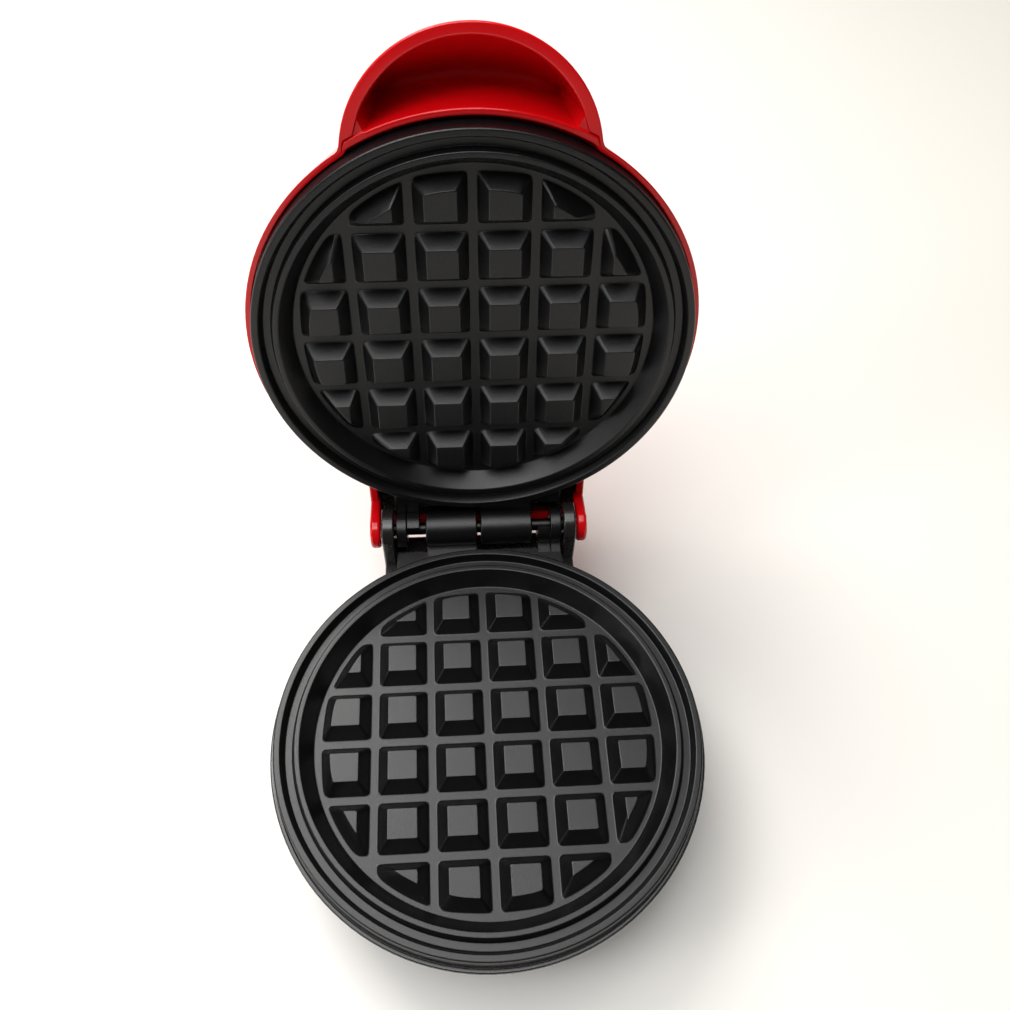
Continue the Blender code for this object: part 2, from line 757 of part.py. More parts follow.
def lid_cover(parent, location):
    made = solid("lid_cover", lid_outside(), "red_shell", parent, location)
    grip(made)
    lid_rear(made)
    boolean(made, lid_inside(), "DIFFERENCE", "room")
    grip_recess(made)
    lid_rear_hollow(made)
    notch = box(
        (-TAB_HALF_WIDTH - 0.6 * MM, 50 * MM, LID_EDGE - 5 * MM),
        (TAB_HALF_WIDTH + 0.6 * MM, 90 * MM, UPPER_VALLEY + 0.8 * MM),
    )
    boolean(made, notch, "DIFFERENCE", "tab_notch")
    low = (0, LENS_Y, LID_TOP - 15 * MM)
    lens_hole = rod(low, (0, LENS_Y, LID_TOP + 5 * MM), LENS_RADIUS + GAP)
    boolean(made, lens_hole, "DIFFERENCE", "lens_hole")
    return made


def lid_frame(parent, location):
    """Ring inside the dome that carries the plate, with a tail that closes the rear block."""
    seat = UPPER_VALLEY - BOSS_END + GAP
    top = seat + 2 * MM
    bottom = UPPER_VALLEY - RIM_UNDERSIDE + 3.4 * MM
    inner = 42.5 * MM
    wall = LID_FRAME_OUTER - 1.8 * MM
    profile = [(LID_FRAME_OUTER, bottom), (LID_FRAME_OUTER, top), (inner, top)]
    profile += [(inner, seat), (wall, seat), (wall, bottom)]
    made = solid("lid_frame", turned(profile), "black_shell", parent, location)
    half = LID_BLOCK_HALF - LID_WALL - 0.5 * MM
    tail = box(
        (-half, PLATE_BACK_RADIUS - 6 * MM, LID_FRAME_TAIL[0]),
        (half, LID_BLOCK_BACK - LID_WALL - 0.5 * MM, LID_FRAME_TAIL[1]),
    )
    tool = boolean(made, tail, "UNION", "tail")
    core = rod((0, 0, bottom - 1 * MM), (0, 0, top), wall + 0.4 * MM, TURNED_SEGMENTS)
    boolean(tool, core, "DIFFERENCE", "core")
    holes = bmesh.new()
    for turn in BOSS_ANGLES:
        x, y = polar(BOSS_CIRCLE, turn)
        add_rod(holes, (x, y, seat - 2 * MM), (x, y, seat + 4 * MM), SCREW_HOLE)
    leg_room = ELEMENT_LEG_X + ELEMENT_TUBE + 1.5 * MM
    add_box(holes, (-leg_room, 38 * MM, seat - 2 * MM), (leg_room, 53 * MM, seat + 4 * MM))
    boolean(made, holes, "DIFFERENCE", "holes")
    return made


# ---- heaters and electrics ----


def element_path():
    """An open ring whose two ends turn back to run out beside each other."""
    gap_turn = math.degrees(math.asin(ELEMENT_LEG_X / ELEMENT_RADIUS))
    ring = arc((0, 0), ELEMENT_RADIUS, 90 + gap_turn + 8, 450 - gap_turn - 8, 24)
    left = [(-ELEMENT_LEG_X, ELEMENT_LEG_END), (-ELEMENT_LEG_X, ELEMENT_RADIUS + 5 * MM)]
    left += [(-ELEMENT_LEG_X - 1 * MM, ELEMENT_RADIUS + 1.5 * MM)]
    right = [(-x, y) for x, y in reversed(left)]
    return left + ring + right


def tube(name, points, radius, slot, parent, location=(0, 0, 0), rotation=(0, 0, 0)):
    curve = bpy.data.curves.new(name, "CURVE")
    curve.dimensions = "3D"
    spline = curve.splines.new("POLY")
    spline.points.add(len(points) - 1)
    for point, place in zip(spline.points, points):
        point.co = (*place, 1)
    curve.bevel_depth = radius
    curve.bevel_resolution = 2
    curve.use_fill_caps = True
    curve.materials.append(material(slot))
    made = link(name, curve, parent, location)
    made.rotation_euler = rotation
    return made


def element(name, parent, location, rotation=(0, 0, 0)):
    z = PLATE_UNDERSIDE - GAP - ELEMENT_TUBE
    points = [(x, y, z) for x, y in element_path()]
    return tube(name, points, ELEMENT_TUBE, "steel", parent, location, rotation)


def shield(name, parent, location):
    """Sheet-metal pan that sends the element's heat back to the plate."""
    wall_top = PLATE_UNDERSIDE - 0.5 * MM
    floor = SHIELD_FLOOR
    inner = SHIELD_RADIUS - SHIELD_SHEET
    profile = [
        (SCREW_HOLE, floor),
        (inner, floor),
        (inner, wall_top),
        (SHIELD_RADIUS, wall_top),
        (SHIELD_RADIUS, floor - SHIELD_SHEET),
        (SCREW_HOLE, floor - SHIELD_SHEET),
    ]
    made = solid(name, turned(profile, segments=INNER_SEGMENTS), "tinplate", parent, location)
    cuts = bmesh.new()
    leg_room = ELEMENT_LEG_X + ELEMENT_TUBE + 1 * MM
    add_box(
        cuts,
        (-leg_room, 34 * MM, floor + 1 * MM),
        (leg_room, 45 * MM, PLATE_UNDERSIDE + 2 * MM),
    )
    add_rod(
        cuts,
        (0, THERMOSTAT_Y, floor - 5 * MM),
        (0, THERMOSTAT_Y, floor + 2 * MM),
        THERMOSTAT_RADIUS + 0.6 * MM,
    )
    boolean(made, cuts, "DIFFERENCE", "cuts")
    return made


def thermostat(parent, location):
    """Bimetal disc thermostat held against the plate, with two blade terminals."""
    top = PLATE_UNDERSIDE - GAP
    bottom = top - 11 * MM
    profile = [
        (0, bottom),
        (THERMOSTAT_RADIUS - 1.2 * MM, bottom),
        (THERMOSTAT_RADIUS - 1.2 * MM, top - 4 * MM),
        (THERMOSTAT_RADIUS, top - 4 * MM),
        (THERMOSTAT_RADIUS, top),
        (0, top),
    ]
    body = turned(profile, (0, THERMOSTAT_Y), BARREL_SEGMENTS)
    made = solid("thermostat", body, "ceramic", parent, location)
    blades = bmesh.new()
    for side in (-1, 1):
        x = side * 4 * MM
        add_box(
            blades,
            (x - 0.4 * MM, THERMOSTAT_Y - 2 * MM, bottom - 4 * MM),
            (x + 0.4 * MM, THERMOSTAT_Y + 2 * MM, bottom + 1 * MM),
        )
    boolean(made, blades, "UNION", "blades")
    return made


def terminal_block(parent):
    """Ceramic connector beside the cord's way in, with a hole for each wire."""
    low = (-10 * MM, 52 * MM, COVER_TOP + GAP)
    high = (10 * MM, 62 * MM, COVER_TOP + 9 * MM)
    made = solid("terminal_block", box(low, high), "ceramic", parent)
    holes = bmesh.new()
    for x in (-6 * MM, 0, 6 * MM):
        add_rod(holes, (x, 48 * MM, 9.5 * MM), (x, 66 * MM, 9.5 * MM), 1.8 * MM, 12)
    boolean(made, holes, "DIFFERENCE", "holes")
    return made


def smooth_route(corners, steps=4):
    """Points along a Catmull-Rom curve through the corners."""
    ends = [Vector(corners[0])] + [Vector(c) for c in corners] + [Vector(corners[-1])]
    points = []
    for index in range(len(corners) - 1):
        a, b, c, d = ends[index : index + 4]
        for step in range(steps):
            t = step / steps
            bend = (2 * a - 5 * b + 4 * c - d) * t**2
            twist = (3 * b - a - 3 * c + d) * t**3
            points.append((2 * b + (c - a) * t + bend + twist) / 2)
    points.append(ends[-1])
    return [tuple(point) for point in points]


def lead(name, corners, slot, parent, location=(0, 0, 0)):
    route = smooth_route([tuple(value * MM for value in corner) for corner in corners])
    return tube(name, route, 1.0 * MM, slot, parent, location)


def base_electrics(parent, plate_place):
    element("lower_heating_element", parent, plate_place)
    shield("lower_heat_shield", parent, plate_place)
    screw(
        "lower_heat_shield_screw",
        0,
        0,
        SHIELD_FLOOR - SHIELD_SHEET - GAP,
        PLATE_UNDERSIDE + 0.4 * MM,
        parent,
        plate_place,
    )
    thermostat(parent, plate_place)
    fuse = [(-8, 14, 19.5), (8, 14, 19.5)]
    tube("thermal_fuse", [tuple(v * MM for v in p) for p in fuse], 2.2 * MM, "insulation", parent)
    terminal_block(parent)
    to_thermostat = [(-6, 51, 9.5), (-12, 42, 12), (-22, 14, 15), (-14, -10, 15), (-5.4, -17, 15)]
    lead("thermostat_lead", to_thermostat, "insulation", parent)
    to_element = [(6, 51, 9.5), (10, 47.6, 12), (9, 47, 22), (7.5, 46, 29), (7, 43.2, 31.4)]
    lead("element_lead", to_element, "insulation", parent)
    to_fuse = [(0, 51, 9.5), (1, 40, 12), (12, 24, 18), (14, 14, 19.5), (10.6, 14, 19.5)]
    lead("fuse_lead", to_fuse, "insulation", parent)


def lid_electrics(parent, location, plate_place):
    turned_over = (0, math.pi, 0)
    element("upper_heating_element", parent, plate_place, turned_over)
    made = shield("upper_heat_shield", parent, plate_place)
    made.rotation_euler = turned_over
    made = screw(
        "upper_heat_shield_screw",
        0,
        0,
        SHIELD_FLOOR - SHIELD_SHEET - GAP,
        PLATE_UNDERSIDE + 0.4 * MM,
        parent,
        plate_place,
    )
    made.rotation_euler = turned_over
    indicator(parent, location)
    to_lamp = [(0, -33.5, 70.6), (4, -24, 69.5), (6, 4, 69), (2, 34, 66)]
    lead("lamp_lead", to_lamp, "insulation", parent, location)
    to_element = [(7, 43.2, 56.6), (8, 46, 60), (5, 50, 65), (2, 58, 66), (0, 66, 62)]
    lead("upper_element_lead", to_element, "insulation", parent, location)


def indicator(parent, location):
    """Lens in the top of the dome with its lamp behind it."""
    surface = 87.6 * MM
    profile = [
        (0, surface - 5 * MM),
        (LENS_RADIUS, surface - 5 * MM),
        (LENS_RADIUS, surface + 0.3 * MM),
        (LENS_RADIUS * 0.6, surface + 1.0 * MM),
        (0, surface + 1.2 * MM),
    ]
    solid("indicator_lens", turned(profile, (0, LENS_Y), BARREL_SEGMENTS), "lens", parent, location)
    bulb = rod((0, LENS_Y, 72 * MM), (0, LENS_Y, surface - 5.5 * MM), 2.2 * MM, 12)
    solid("indicator_lamp", bulb, "lens", parent, location)


def base(root):
    plate_place = (0, 0, VALLEY_HEIGHT)
    base_housing(root)
    bottom_cover(root)
    for index, (x, y) in enumerate(FOOT_PLACES, 1):
        foot(f"foot_{index}", x * MM, y * MM, root)
    for index, turn in enumerate(COVER_SCREW_ANGLES, 1):
        x, y = polar(COVER_SCREW_CIRCLE, turn)
        screw(f"bottom_cover_screw_{index}", x, y, COVER_BOTTOM - GAP, 11 * MM, root)
    plate("lower_plate", root, plate_place)
    for index, turn in enumerate(BOSS_ANGLES, 1):
        x, y = polar(BOSS_CIRCLE, turn)
        screw(f"lower_plate_screw_{index}", x, y, 12 * MM - GAP, VALLEY_HEIGHT + PLATE_UNDERSIDE, root)
    inlet_grommet(root)
    hinge_pin(root)
    base_electrics(root, plate_place)


def lid(root):
    hinge = Vector((0, HINGE_BACK, HINGE_HEIGHT))
    axis = link("lid_axis", None, root, hinge)
    axis.rotation_euler.x = -LID_OPEN
    shut_place = -hinge
    plate_place = Vector((0, 0, UPPER_VALLEY)) - hinge
    lid_cover(axis, shut_place)
    lid_frame(axis, shut_place)
    upper = plate("upper_plate", axis, plate_place)
    upper.rotation_euler = (0, math.pi, 0)
    seat = UPPER_VALLEY - BOSS_END + GAP + 2 * MM + GAP
    for index, turn in enumerate(BOSS_ANGLES, 1):
        x, y = polar(BOSS_CIRCLE, turn)
        tip = UPPER_VALLEY - PLATE_UNDERSIDE
        screw(f"upper_plate_screw_{index}", x, y, seat, tip, axis, shut_place)
    lid_electrics(axis, shut_place, plate_place)


def main():
    clear_scene()
    root = link("waffle_maker", None, None, (0, PLATE_CENTRE_Y, 0))
    base(root)
    lid(root)


main()
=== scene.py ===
"""Looks for a small round waffle maker that stands with its lid swung open.

Every shape is worked out in millimetres with the lid shut and the plates' common axis
on Z. STAND brings a base piece into the row frame and SWING does so for a lid piece,
turning it about the hinge pin to the open pose.
"""

import json
import math

import bmesh
import bpy
import numpy as np
from mathutils import Matrix, Vector


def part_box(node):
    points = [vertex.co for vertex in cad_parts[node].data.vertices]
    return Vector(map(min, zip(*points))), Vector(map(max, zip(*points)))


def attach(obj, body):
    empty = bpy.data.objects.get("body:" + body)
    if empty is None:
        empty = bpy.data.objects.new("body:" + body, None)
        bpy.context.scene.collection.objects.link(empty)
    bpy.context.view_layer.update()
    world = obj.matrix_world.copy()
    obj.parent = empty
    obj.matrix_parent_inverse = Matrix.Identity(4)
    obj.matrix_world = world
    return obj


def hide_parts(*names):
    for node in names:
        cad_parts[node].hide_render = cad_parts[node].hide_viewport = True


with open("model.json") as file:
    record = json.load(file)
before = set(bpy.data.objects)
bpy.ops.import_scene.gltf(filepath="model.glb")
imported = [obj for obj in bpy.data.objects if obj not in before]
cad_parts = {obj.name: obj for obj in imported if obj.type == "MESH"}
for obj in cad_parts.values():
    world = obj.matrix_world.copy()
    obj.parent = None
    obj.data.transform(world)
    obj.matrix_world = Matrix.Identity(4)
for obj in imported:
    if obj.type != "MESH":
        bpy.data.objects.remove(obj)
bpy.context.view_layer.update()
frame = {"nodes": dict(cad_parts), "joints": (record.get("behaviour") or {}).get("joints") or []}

MM = 0.001
JOINT = frame["joints"][0]
HINGE = Vector(JOINT["pos_m"])
OPEN_TURN = math.radians(JOINT["range_deg"][1])
PLATE_LOW, PLATE_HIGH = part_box("lower_plate")
STAND = Matrix.Translation((0, PLATE_LOW.y + PLATE_HIGH.x, 0)) @ Matrix.Scale(MM, 4)
OPENED = Matrix.Rotation(-OPEN_TURN, 4, "X")
SWING = Matrix.Translation(HINGE) @ OPENED @ Matrix.Translation(-HINGE) @ STAND

# Layout, in millimetres
HINGE_BACK = 72.0
AXIS_HEIGHT = HINGE.z / MM
HALF_SPACING = 6.0
LOWER_VALLEY = AXIS_HEIGHT - HALF_SPACING
UPPER_VALLEY = AXIS_HEIGHT + HALF_SPACING
RIM_RADIUS = PLATE_HIGH.x / MM
WELD = 1e-4

# Studs of a plate
STUD_PITCH = 17.0
STUD_ROWS = (4, 6, 6, 6, 6, 4)
STUD_HALF = 7.25
STUD_TOP_HALF = 4.3
STUD_HEIGHT = 4.85
FIELD_RADIUS = 50.6
FIELD_TAPER = 3.4 / (STUD_HALF - STUD_TOP_HALF)
STUD_FOOT_ROUND = 0.5
STUD_TOP_ROUND = 0.38
STUD_FOOT_SOFTNESS = 2.1
STUD_SOFTNESS_LOSS = 1.3
STUD_RAYS = 56

# Underside and hinge tab of a plate
TAB_HALF = 27.4
TAB_BACK = 62.9
TAB_LOW, TAB_HIGH = 0.5, 3.0
BOSS_SPREAD = 47.0
BOSS_RADIUS = 4.5
BOSS_PILOT = 1.9
BOSS_ROOT = -3.0
BOSS_END = -9.0
CENTRE_BOSS_END = -12.0

# Hinge
KNUCKLE_RADIUS = 6.0
BORE_RADIUS = 2.3
PIN_RADIUS = 2.0
LONG_KNUCKLE = (-17.6, -0.6)
END_KNUCKLE = (23.8, TAB_HALF)
HALF_KNUCKLE = (19.6, 23.75)
BASE_EAR_RADIUS = 8.0
BASE_EAR_FOOT = 32.2
BASE_EAR_DEPTH = (64.5, 75.9)
BASE_EAR_SPAN = (28.0, 32.0)
LID_EAR_RADIUS = 6.0
LID_EAR_FOOT = 54.0
LID_EAR_DEPTH = (66.2, 77.8)
LID_EAR_SPAN = (32.5, 35.95)

# Base
BOWL_LINE = ((57.6, 5.0), (58.6, 10.0), (60.6, 18.0), (62.8, 27.0), (64.6, 34.5), (65.0, 37.6))
WALL = 2.5
BASE_BOTTOM = 5.0
BLOCK_HALF = 32.0
BLOCK_BACK = 76.0
BLOCK_TOP = 33.4
BLOCK_CORNER = 4.0
BOWL_SOFTNESS = 1.0
INLET_HEIGHT = 17.0
INLET_RADIUS = 6.2
COVER_RADIUS = 57.3
COVER_GAP = 0.3
COVER_HIGH, COVER_LOW = 4.68, 2.72
SLOT_COUNT = 5
SLOT_PITCH = 6.0
SLOT_HALF_LENGTH = 20.0
SLOT_HALF_WIDTH = 1.25
SCREW_HEAD_HEIGHT = 1.9

# Lid
LID_RADIUS = 65.3
LID_EDGE = 49.0
LEAN = math.tan(math.radians(14))
SHOULDER_REACH = 37.3
SHOULDER_HEIGHT = 62.0
SHOULDER_ROUND = 24.0
LID_TOP = 89.0
DOME_FALL = 3.0
GRIP_RADIUS = 33.8
GRIP_CENTRE = 52.7
GRIP_WALL = 3.3
GRIP_CREST = 86.2
GRIP_CREST_REACH = 30.0
GRIP_CURVE = 0.0094
GRIP_BLEND = 5.0
RECESS_WALL = 66.3
LID_BLOCK_HALF = 36.0
REAR_NOTCH = math.asin(32.9 / 65.0)
REAR_LIFT = 6.6
REAR_RADIUS = 63.4
RIM_LIP = 64.1
RIM_MOUTH = 63.7
RIM_STEP = 51.3
LENS_HOLE = 4.25
LENS_RADIUS = 4.0

# Studio, in metres
FLOOR_REACH = 1.6
AIM = (0, 0, 0.05)


# ---- material nodes ----


class Value:
    """A number that changes over a surface; arithmetic on it adds Math nodes."""

    def __init__(self, finish, socket):
        self.finish = finish
        self.socket = socket

    def maths(self, operation, first, second):
        return self.finish.node("ShaderNodeMath", {"operation": operation}, {0: first, 1: second})

    def __add__(self, other):
        return self.maths("ADD", self, other)

    def __radd__(self, other):
        return self.maths("ADD", other, self)

    def __sub__(self, other):
        return self.maths("SUBTRACT", self, other)

    def __rsub__(self, other):
        return self.maths("SUBTRACT", other, self)

    def __mul__(self, other):
        return self.maths("MULTIPLY", self, other)

    def __rmul__(self, other):
        return self.maths("MULTIPLY", other, self)


class Finish:
    """One material: a Principled shader and the nodes that feed it."""

    def __init__(self, name, plain):
        self.material = bpy.data.materials.new(name)
        self.material.use_nodes = True
        self.tree = self.material.node_tree
        self.shader = self.tree.nodes["Principled BSDF"]
        self.feed(plain)

    def put(self, socket, value):
        if isinstance(value, Value):
            self.tree.links.new(value.socket, socket)
        else:
            socket.default_value = value

    def feed(self, sockets):
        for name, value in sockets.items():
            self.put(self.shader.inputs[name], value)

    def node(self, kind, settings, sockets, output=0):
        made = self.tree.nodes.new(kind)
        for name, value in settings.items():
            setattr(made, name, value)
        for name, value in sockets.items():
            self.put(made.inputs[name], value)
        return Value(self, made.outputs[output])

    def place(self):
        """Where a point lies on the piece, in metres."""
        return self.node("ShaderNodeTexCoord", {}, {}, "Object")

    def noise(self, size, detail=2.0, roughness=0.5, place=None):
        """Even noise from 0 to 1 with features of about the given size in millimetres."""
        settings = {"Vector": place or self.place(), "Scale": 1 / (size * MM)}
        settings.update({"Detail": detail, "Roughness": roughness})
        return self.node("ShaderNodeTexNoise", {}, settings)

    def stretched(self, sizes):
        """Place with each axis scaled, for grain that runs one way."""
        return self.node("ShaderNodeMapping", {}, {"Vector": self.place(), "Scale": sizes})

    def limit(self, value, low, high):
        """Value spread so that low gives 0 and high gives 1, smooth at both ends."""
        settings = {"interpolation_type": "SMOOTHSTEP"}
        sockets = {"Value": value, "From Min": low, "From Max": high}
        return self.node("ShaderNodeMapRange", settings, sockets)

    def blend(self, share, first, second):
        """Colour between two colours."""
        sockets = {0: share}
        for index, colour in ((6, first), (7, second)):
            sockets[index] = colour if isinstance(colour, Value) else (*colour, 1.0)
        return self.node("ShaderNodeMix", {"data_type": "RGBA"}, sockets, 2)

    def bump(self, height, depth, strength=1.0):
        """Normal from a height between 0 and 1, with its depth in millimetres."""
        sockets = {"Height": height, "Distance": depth * MM, "Strength": strength}
        return self.node("ShaderNodeBump", {}, sockets)


def nonstick_coat():
    """Speckled dark release coating on a cast plate."""
    made = Finish("nonstick_plate", {"Specular IOR Level": 0.5, "IOR": 1.5})
    speck = made.noise(0.42, 3.0, 0.65)
    cloud = made.noise(7.0, 2.0)
    spark = made.limit(speck, 0.60, 0.76)
    tone = made.blend(cloud, (0.0022, 0.0022, 0.0027), (0.0038, 0.0038, 0.0045))
    flecked = made.blend(spark * 0.7, tone, (0.050, 0.053, 0.062))
    grain = made.noise(0.22, 2.0, 0.6)
    height = speck * 0.7 + grain * 0.3
    made.feed(
        {
            "Base Color": flecked,
            "Roughness": 0.25 + 0.14 * grain + 0.04 * cloud,
            "Normal": made.bump(height, 0.085, 0.9),
        }
    )
    return made.material


def red_gloss():
    """Deep red polished plastic."""
    made = Finish(
        "red_shell",
        {"IOR": 1.5, "Specular IOR Level": 0.32, "Coat Weight": 0.3, "Coat Roughness": 0.03},
    )
    cloud = made.noise(22.0, 3.0)
    fine = made.noise(1.4, 2.0)
    wave = made.noise(9.0, 1.0)
    made.feed(
        {
            "Base Color": made.blend(cloud, (0.68, 0.0025, 0.005), (0.76, 0.0035, 0.007)),
            "Roughness": 0.17 + 0.06 * fine,
            "Normal": made.bump(wave * 0.9 + fine * 0.1, 0.03, 0.25),
        }
    )
    return made.material


def black_gloss():
    """Black moulded plastic with a soft gloss."""
    made = Finish("black_shell", {"IOR": 1.5, "Coat Weight": 0.25, "Coat Roughness": 0.12})
    cloud = made.noise(14.0, 3.0)
    fine = made.noise(0.6, 3.0, 0.6)
    made.feed(
        {
            "Base Color": made.blend(cloud, (0.010, 0.0088, 0.0085), (0.017, 0.0145, 0.0135)),
            "Roughness": 0.22 + 0.1 * fine,
            "Normal": made.bump(fine, 0.02, 0.3),
        }
    )
    return made.material


def soft_rubber():
    """Matt black rubber with a dusty bloom."""
    made = Finish("rubber", {"IOR": 1.45})
    bloom = made.noise(2.6, 4.0, 0.6)
    grain = made.noise(0.4, 2.0)
    made.feed(
        {
            "Base Color": made.blend(bloom, (0.014, 0.014, 0.014), (0.032, 0.031, 0.03)),
            "Roughness": 0.66 + 0.2 * bloom,
            "Normal": made.bump(grain, 0.04, 0.5),
        }
    )
    return made.material


def zinc_steel():
    """Drawn steel with fine lines along X and a thin zinc bloom."""
    made = Finish("steel", {"Metallic": 1.0})
    lines = made.noise(1.0, 3.0, 0.6, made.stretched((0.08, 3.5, 3.5)))
    bloom = made.noise(3.5, 3.0)
    made.feed(
        {
            "Base Color": made.blend(bloom, (0.11, 0.108, 0.105), (0.20, 0.195, 0.19)),
            "Roughness": 0.22 + 0.14 * lines + 0.08 * bloom,
            "Normal": made.bump(lines, 0.01, 0.4),
        }
    )
    return made.material


def dark_steel():
    """Blackened steel for the hinge pin, drawn along X."""
    made = Finish("dark_steel", {"Metallic": 1.0})
    lines = made.noise(1.0, 3.0, 0.6, made.stretched((0.08, 3.5, 3.5)))
    bloom = made.noise(3.5, 3.0)
    made.feed(
        {
            "Base Color": made.blend(bloom, (0.022, 0.021, 0.020), (0.05, 0.048, 0.045)),
            "Roughness": 0.3 + 0.12 * lines,
            "Normal": made.bump(lines, 0.01, 0.4),
        }
    )
    return made.material


def tin_sheet():
    """Bright rolled sheet with a heat-tinted patch."""
    made = Finish("tinplate", {"Metallic": 1.0})
    rolled = made.noise(1.2, 3.0, 0.6, made.stretched((3.0, 0.1, 3.0)))
    tint = made.noise(18.0, 2.0)
    made.feed(
        {
            "Base Color": made.blend(tint, (0.66, 0.64, 0.60), (0.58, 0.50, 0.40)),
            "Roughness": 0.26 + 0.16 * rolled,
            "Normal": made.bump(rolled, 0.01, 0.4),
        }
    )
    return made.material


def fired_ceramic():
    """Chalky off-white fired body with fine pits."""
    made = Finish("ceramic", {"IOR": 1.5})
    pits = made.noise(0.5, 3.0)
    stain = made.noise(5.0, 3.0)
    made.feed(
        {
            "Base Color": made.blend(stain, (0.80, 0.77, 0.70), (0.66, 0.62, 0.54)),
            "Roughness": 0.5 + 0.2 * pits,
            "Normal": made.bump(pits, 0.05, 0.5),
        }
    )
    return made.material


def glass_sleeve():
    """Braided glass-fibre sleeve."""
    made = Finish("insulation", {"IOR": 1.45})
    settings = {"Vector": made.place(), "Scale": 1 / (0.55 * MM)}
    cells = made.node("ShaderNodeTexVoronoi", {"feature": "F1"}, settings)
    braid = made.limit(cells, 0.1, 0.7)
    made.feed(
        {
            "Base Color": made.blend(braid, (0.74, 0.72, 0.66), (0.50, 0.48, 0.42)),
            "Roughness": 0.62 + 0.2 * braid,
            "Normal": made.bump(1 - braid, 0.12, 0.7),
        }
    )
    return made.material


def blue_lens():
    """Clear blue moulded lens."""
    made = Finish("lens", {"IOR": 1.49, "Coat Weight": 0.5, "Coat Roughness": 0.02})
    cloud = made.noise(1.6, 2.0)
    made.feed(
        {
            "Base Color": made.blend(cloud, (0.02, 0.09, 0.46), (0.05, 0.17, 0.66)),
            "Roughness": 0.08 + 0.06 * cloud,
            "Normal": made.bump(cloud, 0.03, 0.3),
        }
    )
    return made.material


def lamp_glass():
    """Neon lamp bulb, faintly orange."""
    made = Finish("lamp_glass", {"IOR": 1.5})
    cloud = made.noise(1.2, 2.0)
    made.feed(
        {
            "Base Color": made.blend(cloud, (0.82, 0.70, 0.60), (0.90, 0.86, 0.82)),
            "Roughness": 0.06 + 0.08 * cloud,
            "Normal": made.bump(cloud, 0.02, 0.3),
        }
    )
    return made.material


def pale_floor():
    """Seamless pale surface; its colour turns warmer and a little darker towards +X as painted
    light falloff.
    """
    made = Finish("pale_floor", {"IOR": 1.4, "Specular IOR Level": 0.2})
    across = made.node("ShaderNodeSeparateXYZ", {}, {"Vector": made.place()}, 0)
    # Painted light falloff: share of the warmer, darker colour, rising towards +X.
    painted_falloff = made.limit(across + 0.04 * made.noise(240.0, 3.0), -0.05, 0.45)
    fine = made.noise(3.0, 3.0)
    made.feed(
        {
            "Base Color": made.blend(painted_falloff, (0.95, 0.925, 0.885), (0.93, 0.885, 0.80)),
            "Roughness": 0.5 + 0.1 * fine,
            "Normal": made.bump(fine, 0.05, 0.1),
        }
    )
    return made.material


FINISHES = {
    "nonstick_plate": nonstick_coat(),
    "red_shell": red_gloss(),
    "black_shell": black_gloss(),
    "rubber": soft_rubber(),
    "steel": zinc_steel(),
    "dark_steel": dark_steel(),
    "tinplate": tin_sheet(),
    "ceramic": fired_ceramic(),
    "insulation": glass_sleeve(),
    "lens": blue_lens(),
    "lamp_glass": lamp_glass(),
}


# ---- shapes ----


def smooth_step(value, low, high):
    share = min(max((value - low) / (high - low), 0.0), 1.0)
    return share * share * (3 - 2 * share)


def soft_least(values, width):
    """The least of the values, rounded over where two of them cross."""
    least = values[0]
    for value in values[1:]:
        near = max(width - abs(least - value), 0.0)
        least = min(least, value) - near * near / (4 * width)
    return least


def soft_most(values, width):
    return -soft_least([-value for value in values], width)


def rounded(corners, steps=4, closed=False):
    """A path through (a, b, radius) corners, each turned into an arc of steps pieces."""
    points = []
    last = len(corners) - 1
    for index, (a, b, radius) in enumerate(corners):
        if radius == 0 or (not closed and index in (0, last)):
            points.append((a, b))
            continue
        before = corners[index - 1]
        after = corners[(index + 1) % len(corners)]
        to_before = np.array([before[0] - a, before[1] - b])
        to_after = np.array([after[0] - a, after[1] - b])
        lengths = np.hypot(*to_before), np.hypot(*to_after)
        cosine = float(to_before @ to_after) / (lengths[0] * lengths[1])
        turn = math.pi - math.acos(min(max(cosine, -1.0), 1.0))
        reach = min(radius * math.tan(turn / 2), 0.46 * lengths[0], 0.46 * lengths[1])
        here = np.array([a, b])
        start = here + to_before * (reach / lengths[0])
        end = here + to_after * (reach / lengths[1])
        pull = math.cos(turn / 2)
        for step in range(steps + 1):
            t = step / steps
            shares = (1 - t) ** 2, 2 * pull * t * (1 - t), t * t
            point = (shares[0] * start + shares[1] * here + shares[2] * end) / sum(shares)
            points.append(tuple(point))
    return points


def circle_points(centre, radius, start, end, steps):
    """Points on a circle from the start to the end angle in degrees, both included."""
    turns = [math.radians(start + (end - start) * step / steps) for step in range(steps + 1)]
    a, b = centre
    return [(a + radius * math.cos(turn), b + radius * math.sin(turn)) for turn in turns]


def add_sheet(bm, rows, close_rows=False, close_columns=False):
    """Quads over rows of points; either way round may be closed."""
    grid = [[bm.verts.new(point) for point in row] for row in rows]
    row_pairs = list(zip(grid, grid[1:]))
    if close_rows:
        row_pairs.append((grid[-1], grid[0]))
    for near, far in row_pairs:
        columns = list(range(len(near) - 1))
        if close_columns:
            columns.append(-1)
        for column in columns:
            bm.faces.new((near[column], near[column + 1], far[column + 1], far[column]))
    return grid


def around(turns, column, start=1, centre=(0.0, 0.0)):
    """Rows of points from each turn's section; turn 0 is the rear, or the front if start is -1."""
    rows = []
    x, y = centre
    for turn in turns:
        across, along = math.sin(turn), start * math.cos(turn)
        rows.append([(x + radius * across, y + radius * along, z) for radius, z in column(turn)])
    return rows


def add_turned(bm, path, centre=(0.0, 0.0), segments=96, closed=False):
    """Spin a path of (radius, height) points once round a vertical axis."""
    turns = [math.tau * step / segments for step in range(segments)]
    rows = around(turns, lambda turn: path, -1, centre)
    return add_sheet(bm, rows, close_rows=True, close_columns=closed)


